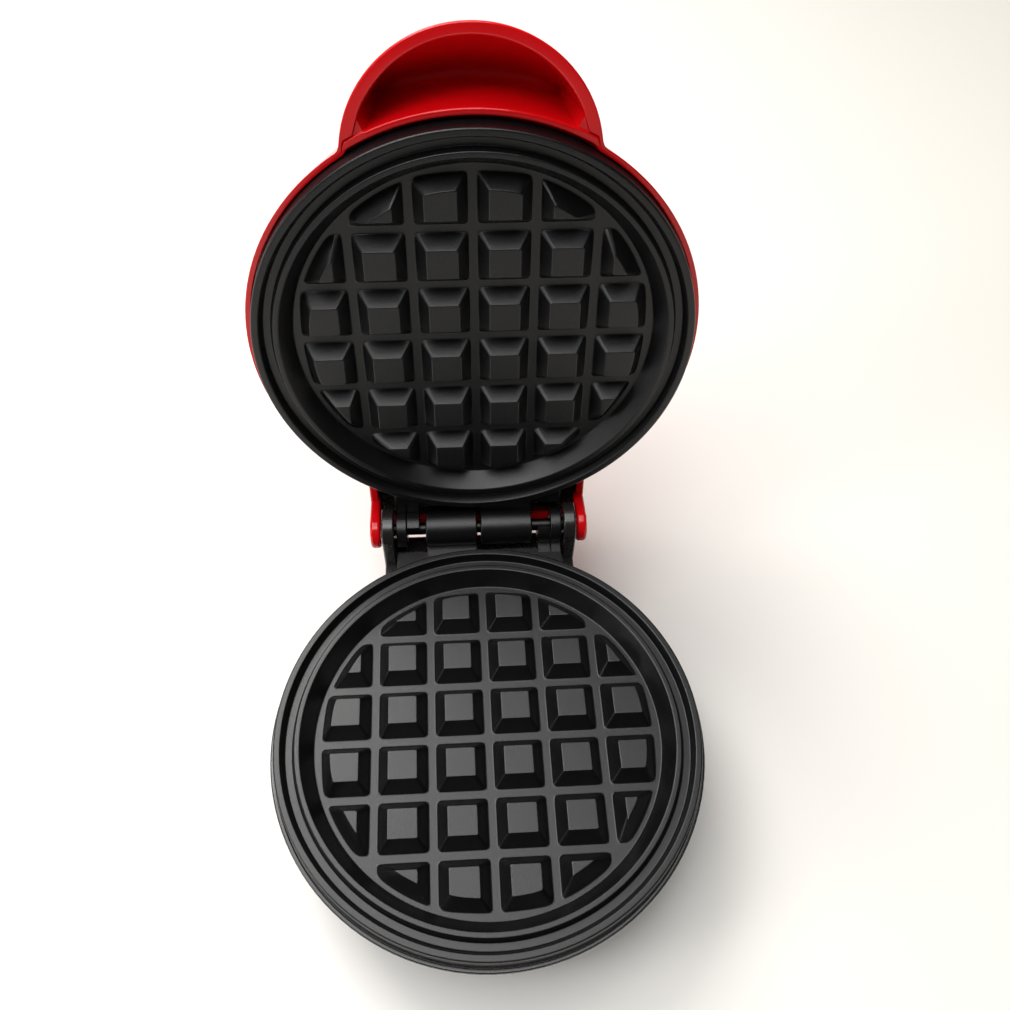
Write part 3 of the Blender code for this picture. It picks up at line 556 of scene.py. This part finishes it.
def shrunk(outline, inset):
    """The outline moved in by inset along each corner's inward direction."""
    points = np.array(outline)
    before = points - np.roll(points, 1, axis=0)
    after = np.roll(points, -1, axis=0) - points
    before /= np.linalg.norm(before, axis=1)[:, None]
    after /= np.linalg.norm(after, axis=1)[:, None]
    inward = np.stack([-(before + after)[:, 1], (before + after)[:, 0]], axis=1)
    length = np.linalg.norm(inward, axis=1)[:, None]
    a, b = points.T
    area = (a * np.roll(b, -1) - np.roll(a, -1) * b).sum()
    sign = 1 if area > 0 else -1
    return points + sign * inset * 2 * inward / (length * length)


def add_bar(bm, outlines, low, high, edge=0.4, steps=4):
    """Run closed (y, z) outlines along X with rounded ends; a second outline is a bore."""
    start = len(bm.edges)
    profile = []
    for step in range(steps + 1):
        turn = math.pi / 2 * step / steps
        profile.append((edge * (1 - math.sin(turn)), edge * (1 - math.cos(turn))))
    end_inset = edge + 0.15
    stations = [(low, end_inset)] + [(low + along, inset) for inset, along in profile]
    stations += [(high - along, inset) for inset, along in reversed(profile)]
    stations.append((high, end_inset))
    for index, outline in enumerate(outlines):
        way = -1 if index else 1
        rows = [[(x, y, z) for y, z in shrunk(outline, way * inset)] for x, inset in stations]
        add_sheet(bm, rows, close_columns=True)
    bm.edges.ensure_lookup_table()
    for x in (low, high):
        open_edges = [edge for edge in bm.edges[start:] if edge.is_boundary]
        ends = [edge for edge in open_edges if abs(edge.verts[0].co.x - x) < WELD / 10]
        bmesh.ops.triangle_fill(bm, use_beauty=True, edges=ends, normal=(1, 0, 0))
        bm.edges.ensure_lookup_table()


def copy_of(mesh):
    bm = bmesh.new()
    bm.from_mesh(mesh)
    return bm


def finished(name, bm, slot, matrix, body, replaced, finish=None):
    """Turn a millimetre bmesh into a piece of the model that moves with its body."""
    bmesh.ops.remove_doubles(bm, verts=bm.verts, dist=WELD)
    bmesh.ops.recalc_face_normals(bm, faces=bm.faces)
    bmesh.ops.transform(bm, matrix=matrix, verts=bm.verts)
    mesh = bpy.data.meshes.new(name)
    bm.to_mesh(mesh)
    bm.free()
    mesh.shade_smooth()
    mesh.set_sharp_from_angle(angle=math.radians(38))
    mesh.materials.append(FINISHES[finish or slot])
    made = bpy.data.objects.new(name, mesh)
    bpy.context.scene.collection.objects.link(made)
    weigh = made.modifiers.new("even_shading", "WEIGHTED_NORMAL")
    weigh.keep_sharp = True
    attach(made, body)
    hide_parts(*replaced)


def cut_out(bm, hole):
    """The shape with the hole's shape taken out of it; both given shapes are used up."""
    pair = []
    for label, shape in (("cut_shape", bm), ("cut_hole", hole)):
        bmesh.ops.remove_doubles(shape, verts=shape.verts, dist=WELD)
        bmesh.ops.recalc_face_normals(shape, faces=shape.faces)
        mesh = bpy.data.meshes.new(label)
        shape.to_mesh(mesh)
        shape.free()
        made = bpy.data.objects.new(label, mesh)
        bpy.context.scene.collection.objects.link(made)
        pair.append(made)
    modifier = pair[0].modifiers.new("cut", "BOOLEAN")
    modifier.operation = "DIFFERENCE"
    modifier.solver = "EXACT"
    modifier.object = pair[1]
    bpy.context.view_layer.update()
    graph = bpy.context.evaluated_depsgraph_get()
    left = copy_of(pair[0].evaluated_get(graph).to_mesh())
    for made in pair:
        bpy.data.objects.remove(made, do_unlink=True)
    return left


def add_copy(bm, other):
    """Put the other shape into this one as a separate body; the other is used up."""
    mesh = bpy.data.meshes.new("added")
    bmesh.ops.recalc_face_normals(other, faces=other.faces)
    other.to_mesh(mesh)
    other.free()
    bm.from_mesh(mesh)
    bpy.data.meshes.remove(mesh)


# ---- cast plates ----


def stud_centres():
    for row, count in enumerate(STUD_ROWS):
        for column in range(count):
            x = (column - (count - 1) / 2) * STUD_PITCH
            yield x, (row - (len(STUD_ROWS) - 1) / 2) * STUD_PITCH


def stud_side():
    """(inset from the stud's foot, height, corner softness) from the valley to its top."""
    run = STUD_HALF - STUD_TOP_HALF
    far = 2.0
    corners = [
        (-far, 0, 0),
        (0, 0, STUD_FOOT_ROUND),
        (run, STUD_HEIGHT, STUD_TOP_ROUND),
        (run + far, STUD_HEIGHT, 0),
    ]
    path = rounded(corners)
    path = [(path[1][0] - 0.12, 0.0), *path[1:-1], (path[-2][0] + 0.15, STUD_HEIGHT)]
    path.append((path[-1][0] + 0.9, STUD_HEIGHT))
    side = []
    for inset, height in path:
        loss = STUD_SOFTNESS_LOSS * smooth_step(height, 0, STUD_HEIGHT)
        side.append((inset, height, STUD_FOOT_SOFTNESS - loss))
    return side


def stud_hub(x, y):
    """A point well inside the stud's top, also where the field's edge crops it."""
    half = STUD_TOP_HALF
    limit = FIELD_RADIUS - FIELD_TAPER * (STUD_HALF - half)
    steps = np.linspace(-half, half, 41)
    across, along = np.meshgrid(x + steps, y + steps)
    kept = np.hypot(across, along) < limit
    return across[kept].mean(), along[kept].mean()


def stud_reach(place, hub, turn, inset, softness):
    """How far the stud's outline lies from its hub at that turn."""
    dx, dy = math.cos(turn), math.sin(turn)
    half = STUD_HALF - inset
    reaches = []
    for centre, start, way in ((place[0], hub[0], dx), (place[1], hub[1], dy)):
        if abs(way) > 1e-6:
            side = half if way > 0 else -half
            reaches.append((centre + side - start) / way)
    reaches = [max(value, 0.02) for value in reaches]
    radius = FIELD_RADIUS - FIELD_TAPER * inset
    along = hub[0] * dx + hub[1] * dy
    inside = along * along + radius * radius - hub[0] ** 2 - hub[1] ** 2
    reaches.append(max(-along + math.sqrt(max(inside, 0.0)), 0.02))
    return max(soft_least(reaches, softness), 0.015)


def stud_turns(place, hub):
    """Turns for the stud's rays, closer together at the corners of its outline."""
    count = 720
    turns = np.arange(count) * math.tau / count
    reach = np.array([stud_reach(place, hub, turn, 0.4, 1.9) for turn in turns])
    points = np.stack([reach * np.cos(turns), reach * np.sin(turns)], axis=1)
    ahead = np.roll(points, -1, axis=0) - points
    heading = np.unwrap(np.arctan2(ahead[:, 1], ahead[:, 0]))
    bend = np.abs(np.diff(np.append(heading, heading[0] + math.tau)))
    length = np.linalg.norm(ahead, axis=1)
    weight = np.cumsum(length / length.sum() + 2.2 * bend / math.tau)
    marks = (np.arange(STUD_RAYS) + 0.5) * weight[-1] / STUD_RAYS
    return np.interp(marks, weight, turns)


def add_stud(bm, place):
    hub = stud_hub(*place)
    turns = stud_turns(place, hub)
    rows = []
    x, y = hub
    for inset, height, softness in stud_side():
        row = []
        for turn in turns:
            reach = stud_reach(place, hub, turn, inset, softness)
            row.append((x + reach * math.cos(turn), y + reach * math.sin(turn), height))
        rows.append(row)
    grid = add_sheet(bm, rows, close_columns=True)
    crown = bm.verts.new((*hub, STUD_HEIGHT))
    top = grid[-1]
    for index in range(STUD_RAYS):
        bm.faces.new((top[index - 1], top[index], crown))


def plate_path():
    """From the valley's edge over the wall, the channel and the rim to the underside."""
    return rounded(
        [
            (51.3, 0, 0),
            (52.1, 0, 0.5),
            (55.6, 5.6, 0.6),
            (57.2, 5.6, 0.45),
            (57.9, 3.2, 0.35),
            (60.1, 3.2, 0.4),
            (61.2, 5.9, 0.45),
            (RIM_RADIUS, 5.9, 0.6),
            (RIM_RADIUS, -1, 0.3),
            (59.5, -1, 0.3),
            (58, -3.2, 0.4),
            (0, -3.2, 0),
        ],
        steps=5,
    )


def tongue():
    """Side view of a knuckle: the barrel's round with a tongue to the plate's tab."""
    axis = (HINGE_BACK, HALF_SPACING)
    low_turn = 180 + math.degrees(math.asin((HALF_SPACING - TAB_LOW) / KNUCKLE_RADIUS))
    high_turn = 180 + math.degrees(math.asin((HALF_SPACING - TAB_HIGH) / KNUCKLE_RADIUS))
    arc = circle_points(axis, KNUCKLE_RADIUS, low_turn, 360 + high_turn - 4, 44)
    return [(TAB_BACK, TAB_HIGH), (TAB_BACK, TAB_LOW), *arc]


def half_tongue():
    """Side view of the barrel that wraps only the pin's front and lower side."""
    axis = (HINGE_BACK, HALF_SPACING)
    outer = circle_points(axis, KNUCKLE_RADIUS, 248, 303, 12)
    inner = circle_points(axis, BORE_RADIUS, 299, 141, 14)
    back_up = circle_points(axis, KNUCKLE_RADIUS, 137, 206, 14)
    return [(TAB_BACK, TAB_HIGH), (TAB_BACK, TAB_LOW), *outer, *inner, *back_up]


def add_boss(bm, x, y, end):
    """Round screw boss under the plate, with its pilot hole from below."""
    corners = [
        (0, BOSS_ROOT, 0),
        (BOSS_RADIUS, BOSS_ROOT, 0),
        (BOSS_RADIUS, end, 0.6),
        (BOSS_PILOT, end, 0.3),
        (BOSS_PILOT, end + 3, 0),
        (0, end + 3, 0),
    ]
    add_turned(bm, rounded(corners), (x, y), 32)


def plate_shape():
    """One casting, valley floor at height 0 and cooking side up."""
    bm = bmesh.new()
    add_turned(bm, plate_path(), segments=176)
    for place in stud_centres():
        add_stud(bm, place)
    bmesh.ops.remove_doubles(bm, verts=bm.verts, dist=WELD)
    rim_edges = [edge for edge in bm.edges if edge.is_boundary]
    bmesh.ops.triangle_fill(bm, use_beauty=True, edges=rim_edges, normal=(0, 0, 1))
    tab = [(56.5, 0.4, 0.2), (64.9, 0.4, 0.5), (64.9, TAB_HIGH, 0.5), (56.5, TAB_HIGH, 0.2)]
    add_bar(bm, [rounded(tab, 3, closed=True)], -TAB_HALF, TAB_HALF, 0.5)
    bore = circle_points((HINGE_BACK, HALF_SPACING), BORE_RADIUS, 0, 350, 35)
    add_bar(bm, [tongue(), bore], *LONG_KNUCKLE, 0.55)
    add_bar(bm, [tongue(), bore], *END_KNUCKLE, 0.45)
    add_bar(bm, [half_tongue()], *HALF_KNUCKLE, 0.25)
    add_boss(bm, 0.0, 0.0, CENTRE_BOSS_END)
    for x, y in circle_points((0.0, 0.0), BOSS_SPREAD, 45, 315, 3):
        add_boss(bm, x, y, BOSS_END)
    return bm


def plates():
    bm = plate_shape()
    shared = bpy.data.meshes.new("plate_casting")
    bmesh.ops.remove_doubles(bm, verts=bm.verts, dist=WELD)
    bm.to_mesh(shared)
    bm.free()
    lower = STAND @ Matrix.Translation((0, 0, LOWER_VALLEY))
    turned_over = Matrix.Rotation(math.pi, 4, "Y")
    upper = SWING @ Matrix.Translation((0, 0, UPPER_VALLEY)) @ turned_over
    for name, place, body in (("lower_plate", lower, "base"), ("upper_plate", upper, "lid")):
        casting = copy_of(shared)
        finished(f"{name}_casting", casting, "nonstick_plate", place, body, [name])
    bpy.data.meshes.remove(shared)


# ---- base ----


def bowl_reach(height):
    heights = [z for _, z in BOWL_LINE]
    return float(np.interp(height, heights, [r for r, _ in BOWL_LINE]))


def block_reach(turn, half, back):
    """How far the square block behind the bowl reaches at a turn from the rear."""
    across, along = abs(math.sin(turn)), math.cos(turn)
    if along < 0.05:
        return 0.0
    return soft_least([half / max(across, 1e-4), back / along], BLOCK_CORNER)


def fan(dense_half, dense_step, step):
    """Turns once round, closer together on both sides of turn 0."""
    near = np.arange(-dense_half, dense_half + 1e-6, dense_step)
    count = round((360 - 2 * dense_half) / step) + 1
    rest = np.linspace(dense_half, 360 - dense_half, count)[1:-1]
    return np.radians(np.concatenate([near, rest]))


def base_column(turn):
    """Closed section of the housing at a turn from the rear."""
    outside = block_reach(turn, BLOCK_HALF, BLOCK_BACK)
    inside = block_reach(turn, BLOCK_HALF - WALL, BLOCK_BACK - WALL)

    def outer_corner(z, radius=0):
        return soft_most([bowl_reach(z), outside], BOWL_SOFTNESS), z, radius

    def inner_corner(z, radius=0):
        return soft_most([bowl_reach(z) - WALL, inside], BOWL_SOFTNESS), z, radius

    heights = (8.0, 12.0, 16.0, 20.0, 24.0, 28.0, 31.0)
    outer = [outer_corner(BASE_BOTTOM, 0.5)]
    outer += [outer_corner(z) for z in heights]
    outer += [
        outer_corner(BLOCK_TOP, 2.4),
        (bowl_reach(33.6), 33.55, 0.8),
        (64.75, 35.3, 0),
        (65.0, 37.0, 0),
        (64.95, 38.0, 0.5),
        (63.7, 38.0, 0.25),
        (63.7, 36.7, 0.15),
        (62.1, 36.7, 0.3),
    ]
    inner = [(bowl_reach(31.2) - WALL, 31.3, 0.5), inner_corner(BLOCK_TOP - WALL, 1.0)]
    inner += [inner_corner(z) for z in reversed(heights[:-1])]
    inner.append(inner_corner(BASE_BOTTOM, 0.3))
    return rounded(outer + inner, steps=4, closed=True)


def ear_outline(radius, foot_height, depth):
    """Side view of an ear: round over the hinge axis and straight to its foot."""
    front, back = depth
    side = 1 if foot_height < AXIS_HEIGHT else -1
    front_turn = side * math.degrees(math.acos((front - HINGE_BACK) / radius))
    back_turn = side * math.degrees(math.acos((back - HINGE_BACK) / radius))
    arc = circle_points((HINGE_BACK, AXIS_HEIGHT), radius, back_turn, front_turn, 32)
    return [(back, foot_height), *arc, (front, foot_height)]


def add_ears(bm, outline, span, edge):
    bore = circle_points((HINGE_BACK, AXIS_HEIGHT), BORE_RADIUS, 0, 350, 35)
    for side in (-1, 1):
        near, far = sorted(side * x for x in span)
        add_bar(bm, [outline, bore], near, far, edge)


def housing():
    shell = bmesh.new()
    add_sheet(shell, around(fan(37, 0.6, 3.0), base_column), close_rows=True, close_columns=True)
    hole = bmesh.new()
    add_turned(hole, [(0, -5), (INLET_RADIUS, -5), (INLET_RADIUS, 5), (0, 5)], segments=48)
    place = Matrix.Translation((0, BLOCK_BACK, INLET_HEIGHT)) @ Matrix.Rotation(math.pi / 2, 4, "X")
    bmesh.ops.transform(hole, matrix=place, verts=hole.verts)
    bm = cut_out(shell, hole)
    outline = ear_outline(BASE_EAR_RADIUS, BASE_EAR_FOOT, BASE_EAR_DEPTH)
    add_ears(bm, outline, BASE_EAR_SPAN, 0.6)
    finished("base_bowl", bm, "black_shell", STAND, "base", ["base_housing"])


def cover_column(turn):
    """Half section of the flat cover under the bowl and the block."""
    block = block_reach(turn, BLOCK_HALF - COVER_GAP, BLOCK_BACK - COVER_GAP)
    reach = soft_most([COVER_RADIUS, block], BOWL_SOFTNESS)
    return rounded(
        [(0, COVER_HIGH, 0), (reach, COVER_HIGH, 0.2), (reach, COVER_LOW, 0.6), (0, COVER_LOW, 0)]
    )


def add_slot(bm, y):
    """A round-ended slot along X that goes through the cover."""
    end = SLOT_HALF_LENGTH - SLOT_HALF_WIDTH
    outline = circle_points((end, y), SLOT_HALF_WIDTH, -90, 90, 10)
    outline += circle_points((-end, y), SLOT_HALF_WIDTH, 90, 270, 10)
    rings = [[(*point, z) for point in outline] for z in (0.0, 8.0)]
    for ring in add_sheet(bm, rings, close_columns=True):
        bm.faces.new(ring)


def bottom_cover():
    plate = bmesh.new()
    add_sheet(plate, around(fan(37, 0.6, 3.0), cover_column), close_rows=True)
    slots = bmesh.new()
    for row in range(SLOT_COUNT):
        add_slot(slots, (row - SLOT_COUNT // 2) * SLOT_PITCH)
    vented = cut_out(plate, slots)
    finished("vented_cover", vented, "black_shell", STAND, "base", ["bottom_cover"])


def cover_screws():
    """Pan-head screws with a cross recess, heads down."""
    for index in range(1, 4):
        name = f"bottom_cover_screw_{index}"
        low, high = (STAND.inverted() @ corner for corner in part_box(name))
        centre = (low + high) / 2
        head = low.z + SCREW_HEAD_HEIGHT
        path = [
            (0, low.z, 0),
            (3.1, low.z, 1.1),
            (3.1, head, 0.1),
            (1.6, head, 0.1),
            (1.6, high.z, 0.5),
            (0, high.z, 0),
        ]
        screw = bmesh.new()
        add_turned(screw, rounded(path, 6), (centre.x, centre.y), 48)
        for half_x, half_y in ((1.75, 0.42), (0.42, 1.75)):
            recess = bmesh.new()
            size = Matrix.Diagonal((2 * half_x, 2 * half_y, 2.4, 1))
            place = Matrix.Translation((centre.x, centre.y, low.z))
            bmesh.ops.create_cube(recess, size=1, matrix=place @ size)
            screw = cut_out(screw, recess)
        finished(f"cross_screw_{index}", screw, "steel", STAND, "base", [name])


def grommet():
    path = rounded(
        [
            (3.6, 1.6, 0.5),
            (3.6, -4.2, 0.4),
            (8.0, -4.2, 0.5),
            (8.0, -2.8, 0.2),
            (5.9, -2.8, 0.1),
            (5.9, 0.3, 0.1),
            (8.0, 0.3, 0.3),
            (7.5, 1.6, 0.6),
        ],
        closed=True,
    )
    bm = bmesh.new()
    add_turned(bm, path, segments=64, closed=True)
    lying = Matrix.Rotation(-math.pi / 2, 4, "X")
    place = STAND @ (Matrix.Translation((0, BLOCK_BACK, INLET_HEIGHT)) @ lying)
    finished("inlet_grommet", bm, "rubber", place, "base", ["cord_inlet_grommet"])


def feet():
    for index in range(1, 5):
        name = f"foot_{index}"
        low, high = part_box(name)
        centre = STAND.inverted() @ ((low + high) / 2)
        path = rounded(
            [
                (0, 0.25, 0),
                (4.6, 0.25, 0.2),
                (5.0, 0, 0.2),
                (6.6, 0, 0.5),
                (7.0, 0.7, 0.4),
                (6.7, 2.4, 0.35),
                (2.2, 2.4, 0.1),
                (2.2, 5.6, 0.3),
                (0, 5.6, 0),
            ]
        )
        bm = bmesh.new()
        add_turned(bm, path, (centre.x, centre.y), 64)
        finished(f"rubber_{name}", bm, "rubber", STAND, "base", [name])


def pin():
    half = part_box("hinge_pin")[1].x / MM
    bm = bmesh.new()
    path = [(0, -half, 0), (PIN_RADIUS, -half, 0.45), (PIN_RADIUS, half, 0.45), (0, half, 0)]
    add_turned(bm, rounded(path), segments=40)
    lying = Matrix.Rotation(math.pi / 2, 4, "Y")
    place = STAND @ (Matrix.Translation((0, HINGE_BACK, AXIS_HEIGHT)) @ lying)
    finished("hinge_pin_rod", bm, "steel", place, "base", ["hinge_pin"], "dark_steel")


# ---- lid ----


def grip_reach(turn, radius):
    """How far the grip's circle reaches at a turn from the front, 0 where it isn't met."""
    across = GRIP_CENTRE * math.sin(turn)
    if abs(across) >= radius or math.cos(turn) < 0:
        return 0.0
    return GRIP_CENTRE * math.cos(turn) + math.sqrt(radius * radius - across * across)


def grip_top(radius):
    return GRIP_CREST - GRIP_CURVE * (radius - GRIP_CREST_REACH) ** 2


def dome_height(radius):
    """Height of the dome's surface; past the shoulder it runs straight down its side."""
    if radius <= SHOULDER_REACH:
        return LID_TOP - DOME_FALL * (radius / SHOULDER_REACH) ** 2
    shoulder_end = SHOULDER_REACH + SHOULDER_ROUND * math.cos(math.atan(LEAN))
    if radius > shoulder_end:
        return LID_EDGE + (LID_RADIUS - radius) / LEAN
    return SHOULDER_HEIGHT + math.sqrt(SHOULDER_ROUND**2 - (radius - SHOULDER_REACH) ** 2)


def inner_side(height):
    return LID_RADIUS - LEAN * (height - LID_EDGE) - WALL / math.cos(math.atan(LEAN))


def lid_column(turn):
    """Section of the lid's cover at a turn from the front, from crown to inner crown."""
    outside = soft_most([LID_RADIUS, grip_reach(turn, GRIP_RADIUS)], 1.6)
    share = smooth_step(outside, LID_RADIUS, 69.5)

    def height(radius):
        dome = dome_height(radius)
        if share == 0:
            return dome
        side = LID_EDGE + (outside - radius) / LEAN
        raised = soft_most([dome, grip_top(radius)], GRIP_BLEND)
        top = dome + (raised - dome) * share
        return max(soft_least([side, top], 0.1 + 7.0 * share), LID_EDGE + 0.3)

    reach = outside - SHOULDER_REACH
    crown = [(SHOULDER_REACH * step / 7, height(SHOULDER_REACH * step / 7), 0) for step in range(8)]
    shoulder = []
    for step in range(1, 23):
        radius = outside - 0.35 - (reach - 0.35) * (1 - math.sin(math.pi / 2 * step / 22))
        shoulder.append((radius, height(radius), 0))
    rear = abs(abs(turn) - math.pi) < REAR_NOTCH
    lip = LID_EDGE + (REAR_LIFT if rear else 0.0)
    pocket_out = grip_reach(turn, GRIP_RADIUS - GRIP_WALL)
    width = pocket_out - RECESS_WALL
    depth = smooth_step(width, 3.8, 7.2)
    in_grip = smooth_step(outside, LID_RADIUS + 0.5, 68.5)
    near = RIM_LIP + (RECESS_WALL - RIM_LIP) * in_grip
    mouth = RIM_MOUTH + 0.7 * in_grip
    step_height = max(RIM_STEP + 3.0 * in_grip, lip + 0.8)
    far = max(pocket_out, near + 0.5)
    facet = lip + 0.6 * in_grip
    ceiling_near = facet + depth * (grip_top(near) - WALL - facet)
    ceiling_far = facet + depth * (grip_top(far) - WALL - facet)
    if rear:
        shoulder = [(min(r, REAR_RADIUS), max(z, lip + 0.4), 0) for r, z, _ in shoulder]
        outside, far, near, mouth = REAR_RADIUS, 63.0, 62.6, 62.2
    under = [
        (outside, lip, 0.9),
        (far, lip, 0.9),
        (far - 0.12 - LEAN * (ceiling_far - lip), ceiling_far, 3.0),
        (near + 0.12, ceiling_near, 2.2),
        (near, lip, 0.7),
        (mouth, lip, 0.45),
        (mouth, step_height, 0.1),
        (min(inner_side(step_height), mouth - 0.2), step_height, 0.1),
        (inner_side(SHOULDER_HEIGHT), SHOULDER_HEIGHT, 0),
    ]
    inner_round = SHOULDER_ROUND - WALL
    inner = circle_points((SHOULDER_REACH, SHOULDER_HEIGHT), inner_round, 14, 90, 9)
    inner += [(SHOULDER_REACH / 2, LID_TOP - WALL - 0.75), (0, LID_TOP - WALL)]
    return rounded(crown + shoulder + under + [(*point, 0) for point in inner], steps=5)


def lid_turns():
    turns = fan(48, 0.8, 2.5)
    step = 0.002
    reaches = (REAR_NOTCH - step, REAR_NOTCH + step)
    edges = [math.pi + side * reach for side in (-1, 1) for reach in reaches]
    return np.sort(np.concatenate([turns % math.tau, edges]))


def lid_room():
    """The room inside the dome, a little oversize so that the block ends within its wall."""
    over = 0.4
    path = [(0, 44.0), (REAR_RADIUS, 44.0), (inner_side(RIM_STEP) + over, RIM_STEP)]
    inner_round = SHOULDER_ROUND - WALL + over
    path += circle_points((SHOULDER_REACH, SHOULDER_HEIGHT), inner_round, 14, 90, 12)
    bm = bmesh.new()
    add_turned(bm, [*path, (0, LID_TOP - WALL)], segments=120)
    return bm


def lid_block():
    """Shell over the hinge, open below, with solid sides."""
    corners = [
        (50.0, 52.5, 0.9),
        (78.5, 52.5, 0.9),
        (78.5, 70.4, 6.0),
        (72.0, 74.2, 10.0),
        (47.0, 76.2, 2.0),
        (45.0, 76.0, 0.9),
    ]
    room = [
        (48.5, 50.0, 0),
        (76.0, 50.0, 0),
        (76.0, 68.0, 3.0),
        (72.0, 70.5, 3.0),
        (48.5, 72.5, 0),
    ]
    block = bmesh.new()
    add_bar(block, [rounded(corners, 6, closed=True)], -LID_BLOCK_HALF, LID_BLOCK_HALF, 0.6, 5)
    hollow = bmesh.new()
    half = LID_BLOCK_HALF - WALL
    add_bar(hollow, [rounded(room, 4, closed=True)], -half, half, 0.8)
    return cut_out(cut_out(block, hollow), lid_room())


def cover():
    shell = bmesh.new()
    add_sheet(shell, around(lid_turns(), lid_column, -1), close_rows=True)
    low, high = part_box("indicator_lens")
    lens = SWING.inverted() @ ((low + high) / 2)
    hole = bmesh.new()
    path = [(0, 70), (LENS_HOLE, 70), (LENS_HOLE, 95), (0, 95)]
    add_turned(hole, path, (0, lens.y), 48)
    bm = cut_out(shell, hole)
    add_copy(bm, lid_block())
    outline = ear_outline(LID_EAR_RADIUS, LID_EAR_FOOT, LID_EAR_DEPTH)
    add_ears(bm, outline, LID_EAR_SPAN, 1.1)
    finished("red_lid_cover", bm, "red_shell", SWING, "lid", ["lid_cover"])
    return lens


def indicator(lens):
    top = dome_height(abs(lens.y)) + 0.1
    bm = bmesh.new()
    path = [
        (0, top - 5, 0),
        (LENS_RADIUS, top - 5, 0.3),
        (LENS_RADIUS, top + 0.3, 0.4),
        (2.2, top + 0.95, 2.0),
        (0, top + 1.15, 0),
    ]
    add_turned(bm, rounded(path, 6), (0, lens.y), 56)
    finished("indicator_window", bm, "lens", SWING, "lid", ["indicator_lens"])


# ---- carried-over nodes, stage, lights and camera ----


def finish_inner_nodes():
    """Give every CAD node that stays in view the finish of its own slot."""
    by_word = {
        "_lead": "insulation",
        "screw": "steel",
        "element": "steel",
        "shield": "tinplate",
        "thermostat": "ceramic",
        "terminal": "ceramic",
        "fuse": "insulation",
        "lamp": "lamp_glass",
        "frame": "black_shell",
    }
    for name, node in frame["nodes"].items():
        slots = [slot for word, slot in by_word.items() if word in name]
        if slots:
            node.data.materials.clear()
            node.data.materials.append(FINISHES[slots[0]])


def stage_floor():
    bm = bmesh.new()
    bmesh.ops.create_grid(bm, x_segments=24, y_segments=24, size=FLOOR_REACH)
    mesh = bpy.data.meshes.new("floor")
    bm.to_mesh(mesh)
    bm.free()
    mesh.materials.append(pale_floor())
    floor = bpy.data.objects.new("floor", mesh)
    bpy.context.scene.collection.objects.link(floor)


def area_light(name, place, target, size, power, colour=(1, 1, 1)):
    light = bpy.data.lights.new(name, "AREA")
    light.shape = "RECTANGLE"
    light.size, light.size_y = size
    light.energy = power
    light.color = colour
    made = bpy.data.objects.new(name, light)
    made.location = place
    aim = Vector(target) - Vector(place)
    made.rotation_euler = aim.to_track_quat("-Z", "Y").to_euler()
    bpy.context.scene.collection.objects.link(made)


def lights():
    warm = (1.0, 0.985, 0.96)
    area_light("key_window", (-0.36, 0.46, 0.86), AIM, (0.45, 0.45), 5.5, warm)
    area_light("front_top", (-0.10, -0.30, 1.25), AIM, (0.35, 0.35), 1.0)
    area_light("side_strip", (-0.85, -0.25, 0.55), (0, 0, 0.08), (0.2, 0.9), 2.5)
    area_light("overhead", (-0.35, 0.0, 1.7), (0, 0, 0), (1.6, 1.6), 27)
    world = bpy.data.worlds.new("studio")
    world.use_nodes = True
    background = world.node_tree.nodes["Background"]
    background.inputs["Color"].default_value = (0.94, 0.97, 1.0, 1.0)
    background.inputs["Strength"].default_value = 0.045
    bpy.context.scene.world = world
    bpy.context.scene.view_settings.view_transform = "Standard"


def camera():
    data = bpy.data.cameras.new("view")
    data.lens = 35.495
    data.sensor_width = 36.0
    data.clip_start = 0.01
    made = bpy.data.objects.new("view", data)
    right = Vector((0.99827, -0.05577, 0.01885))
    down = Vector((-0.03565, -0.82760, -0.56019))
    ahead = Vector((0.04685, 0.55855, -0.82815))
    turn = Matrix((right, -down, -ahead)).transposed()
    made.matrix_world = Matrix.Translation((-0.00658, -0.14691, 0.32547)) @ turn.to_4x4()
    bpy.context.scene.collection.objects.link(made)
    bpy.context.scene.camera = made


plates()
housing()
grommet()
feet()
pin()
bottom_cover()
cover_screws()
indicator(cover())
finish_inner_nodes()
stage_floor()
lights()
camera()
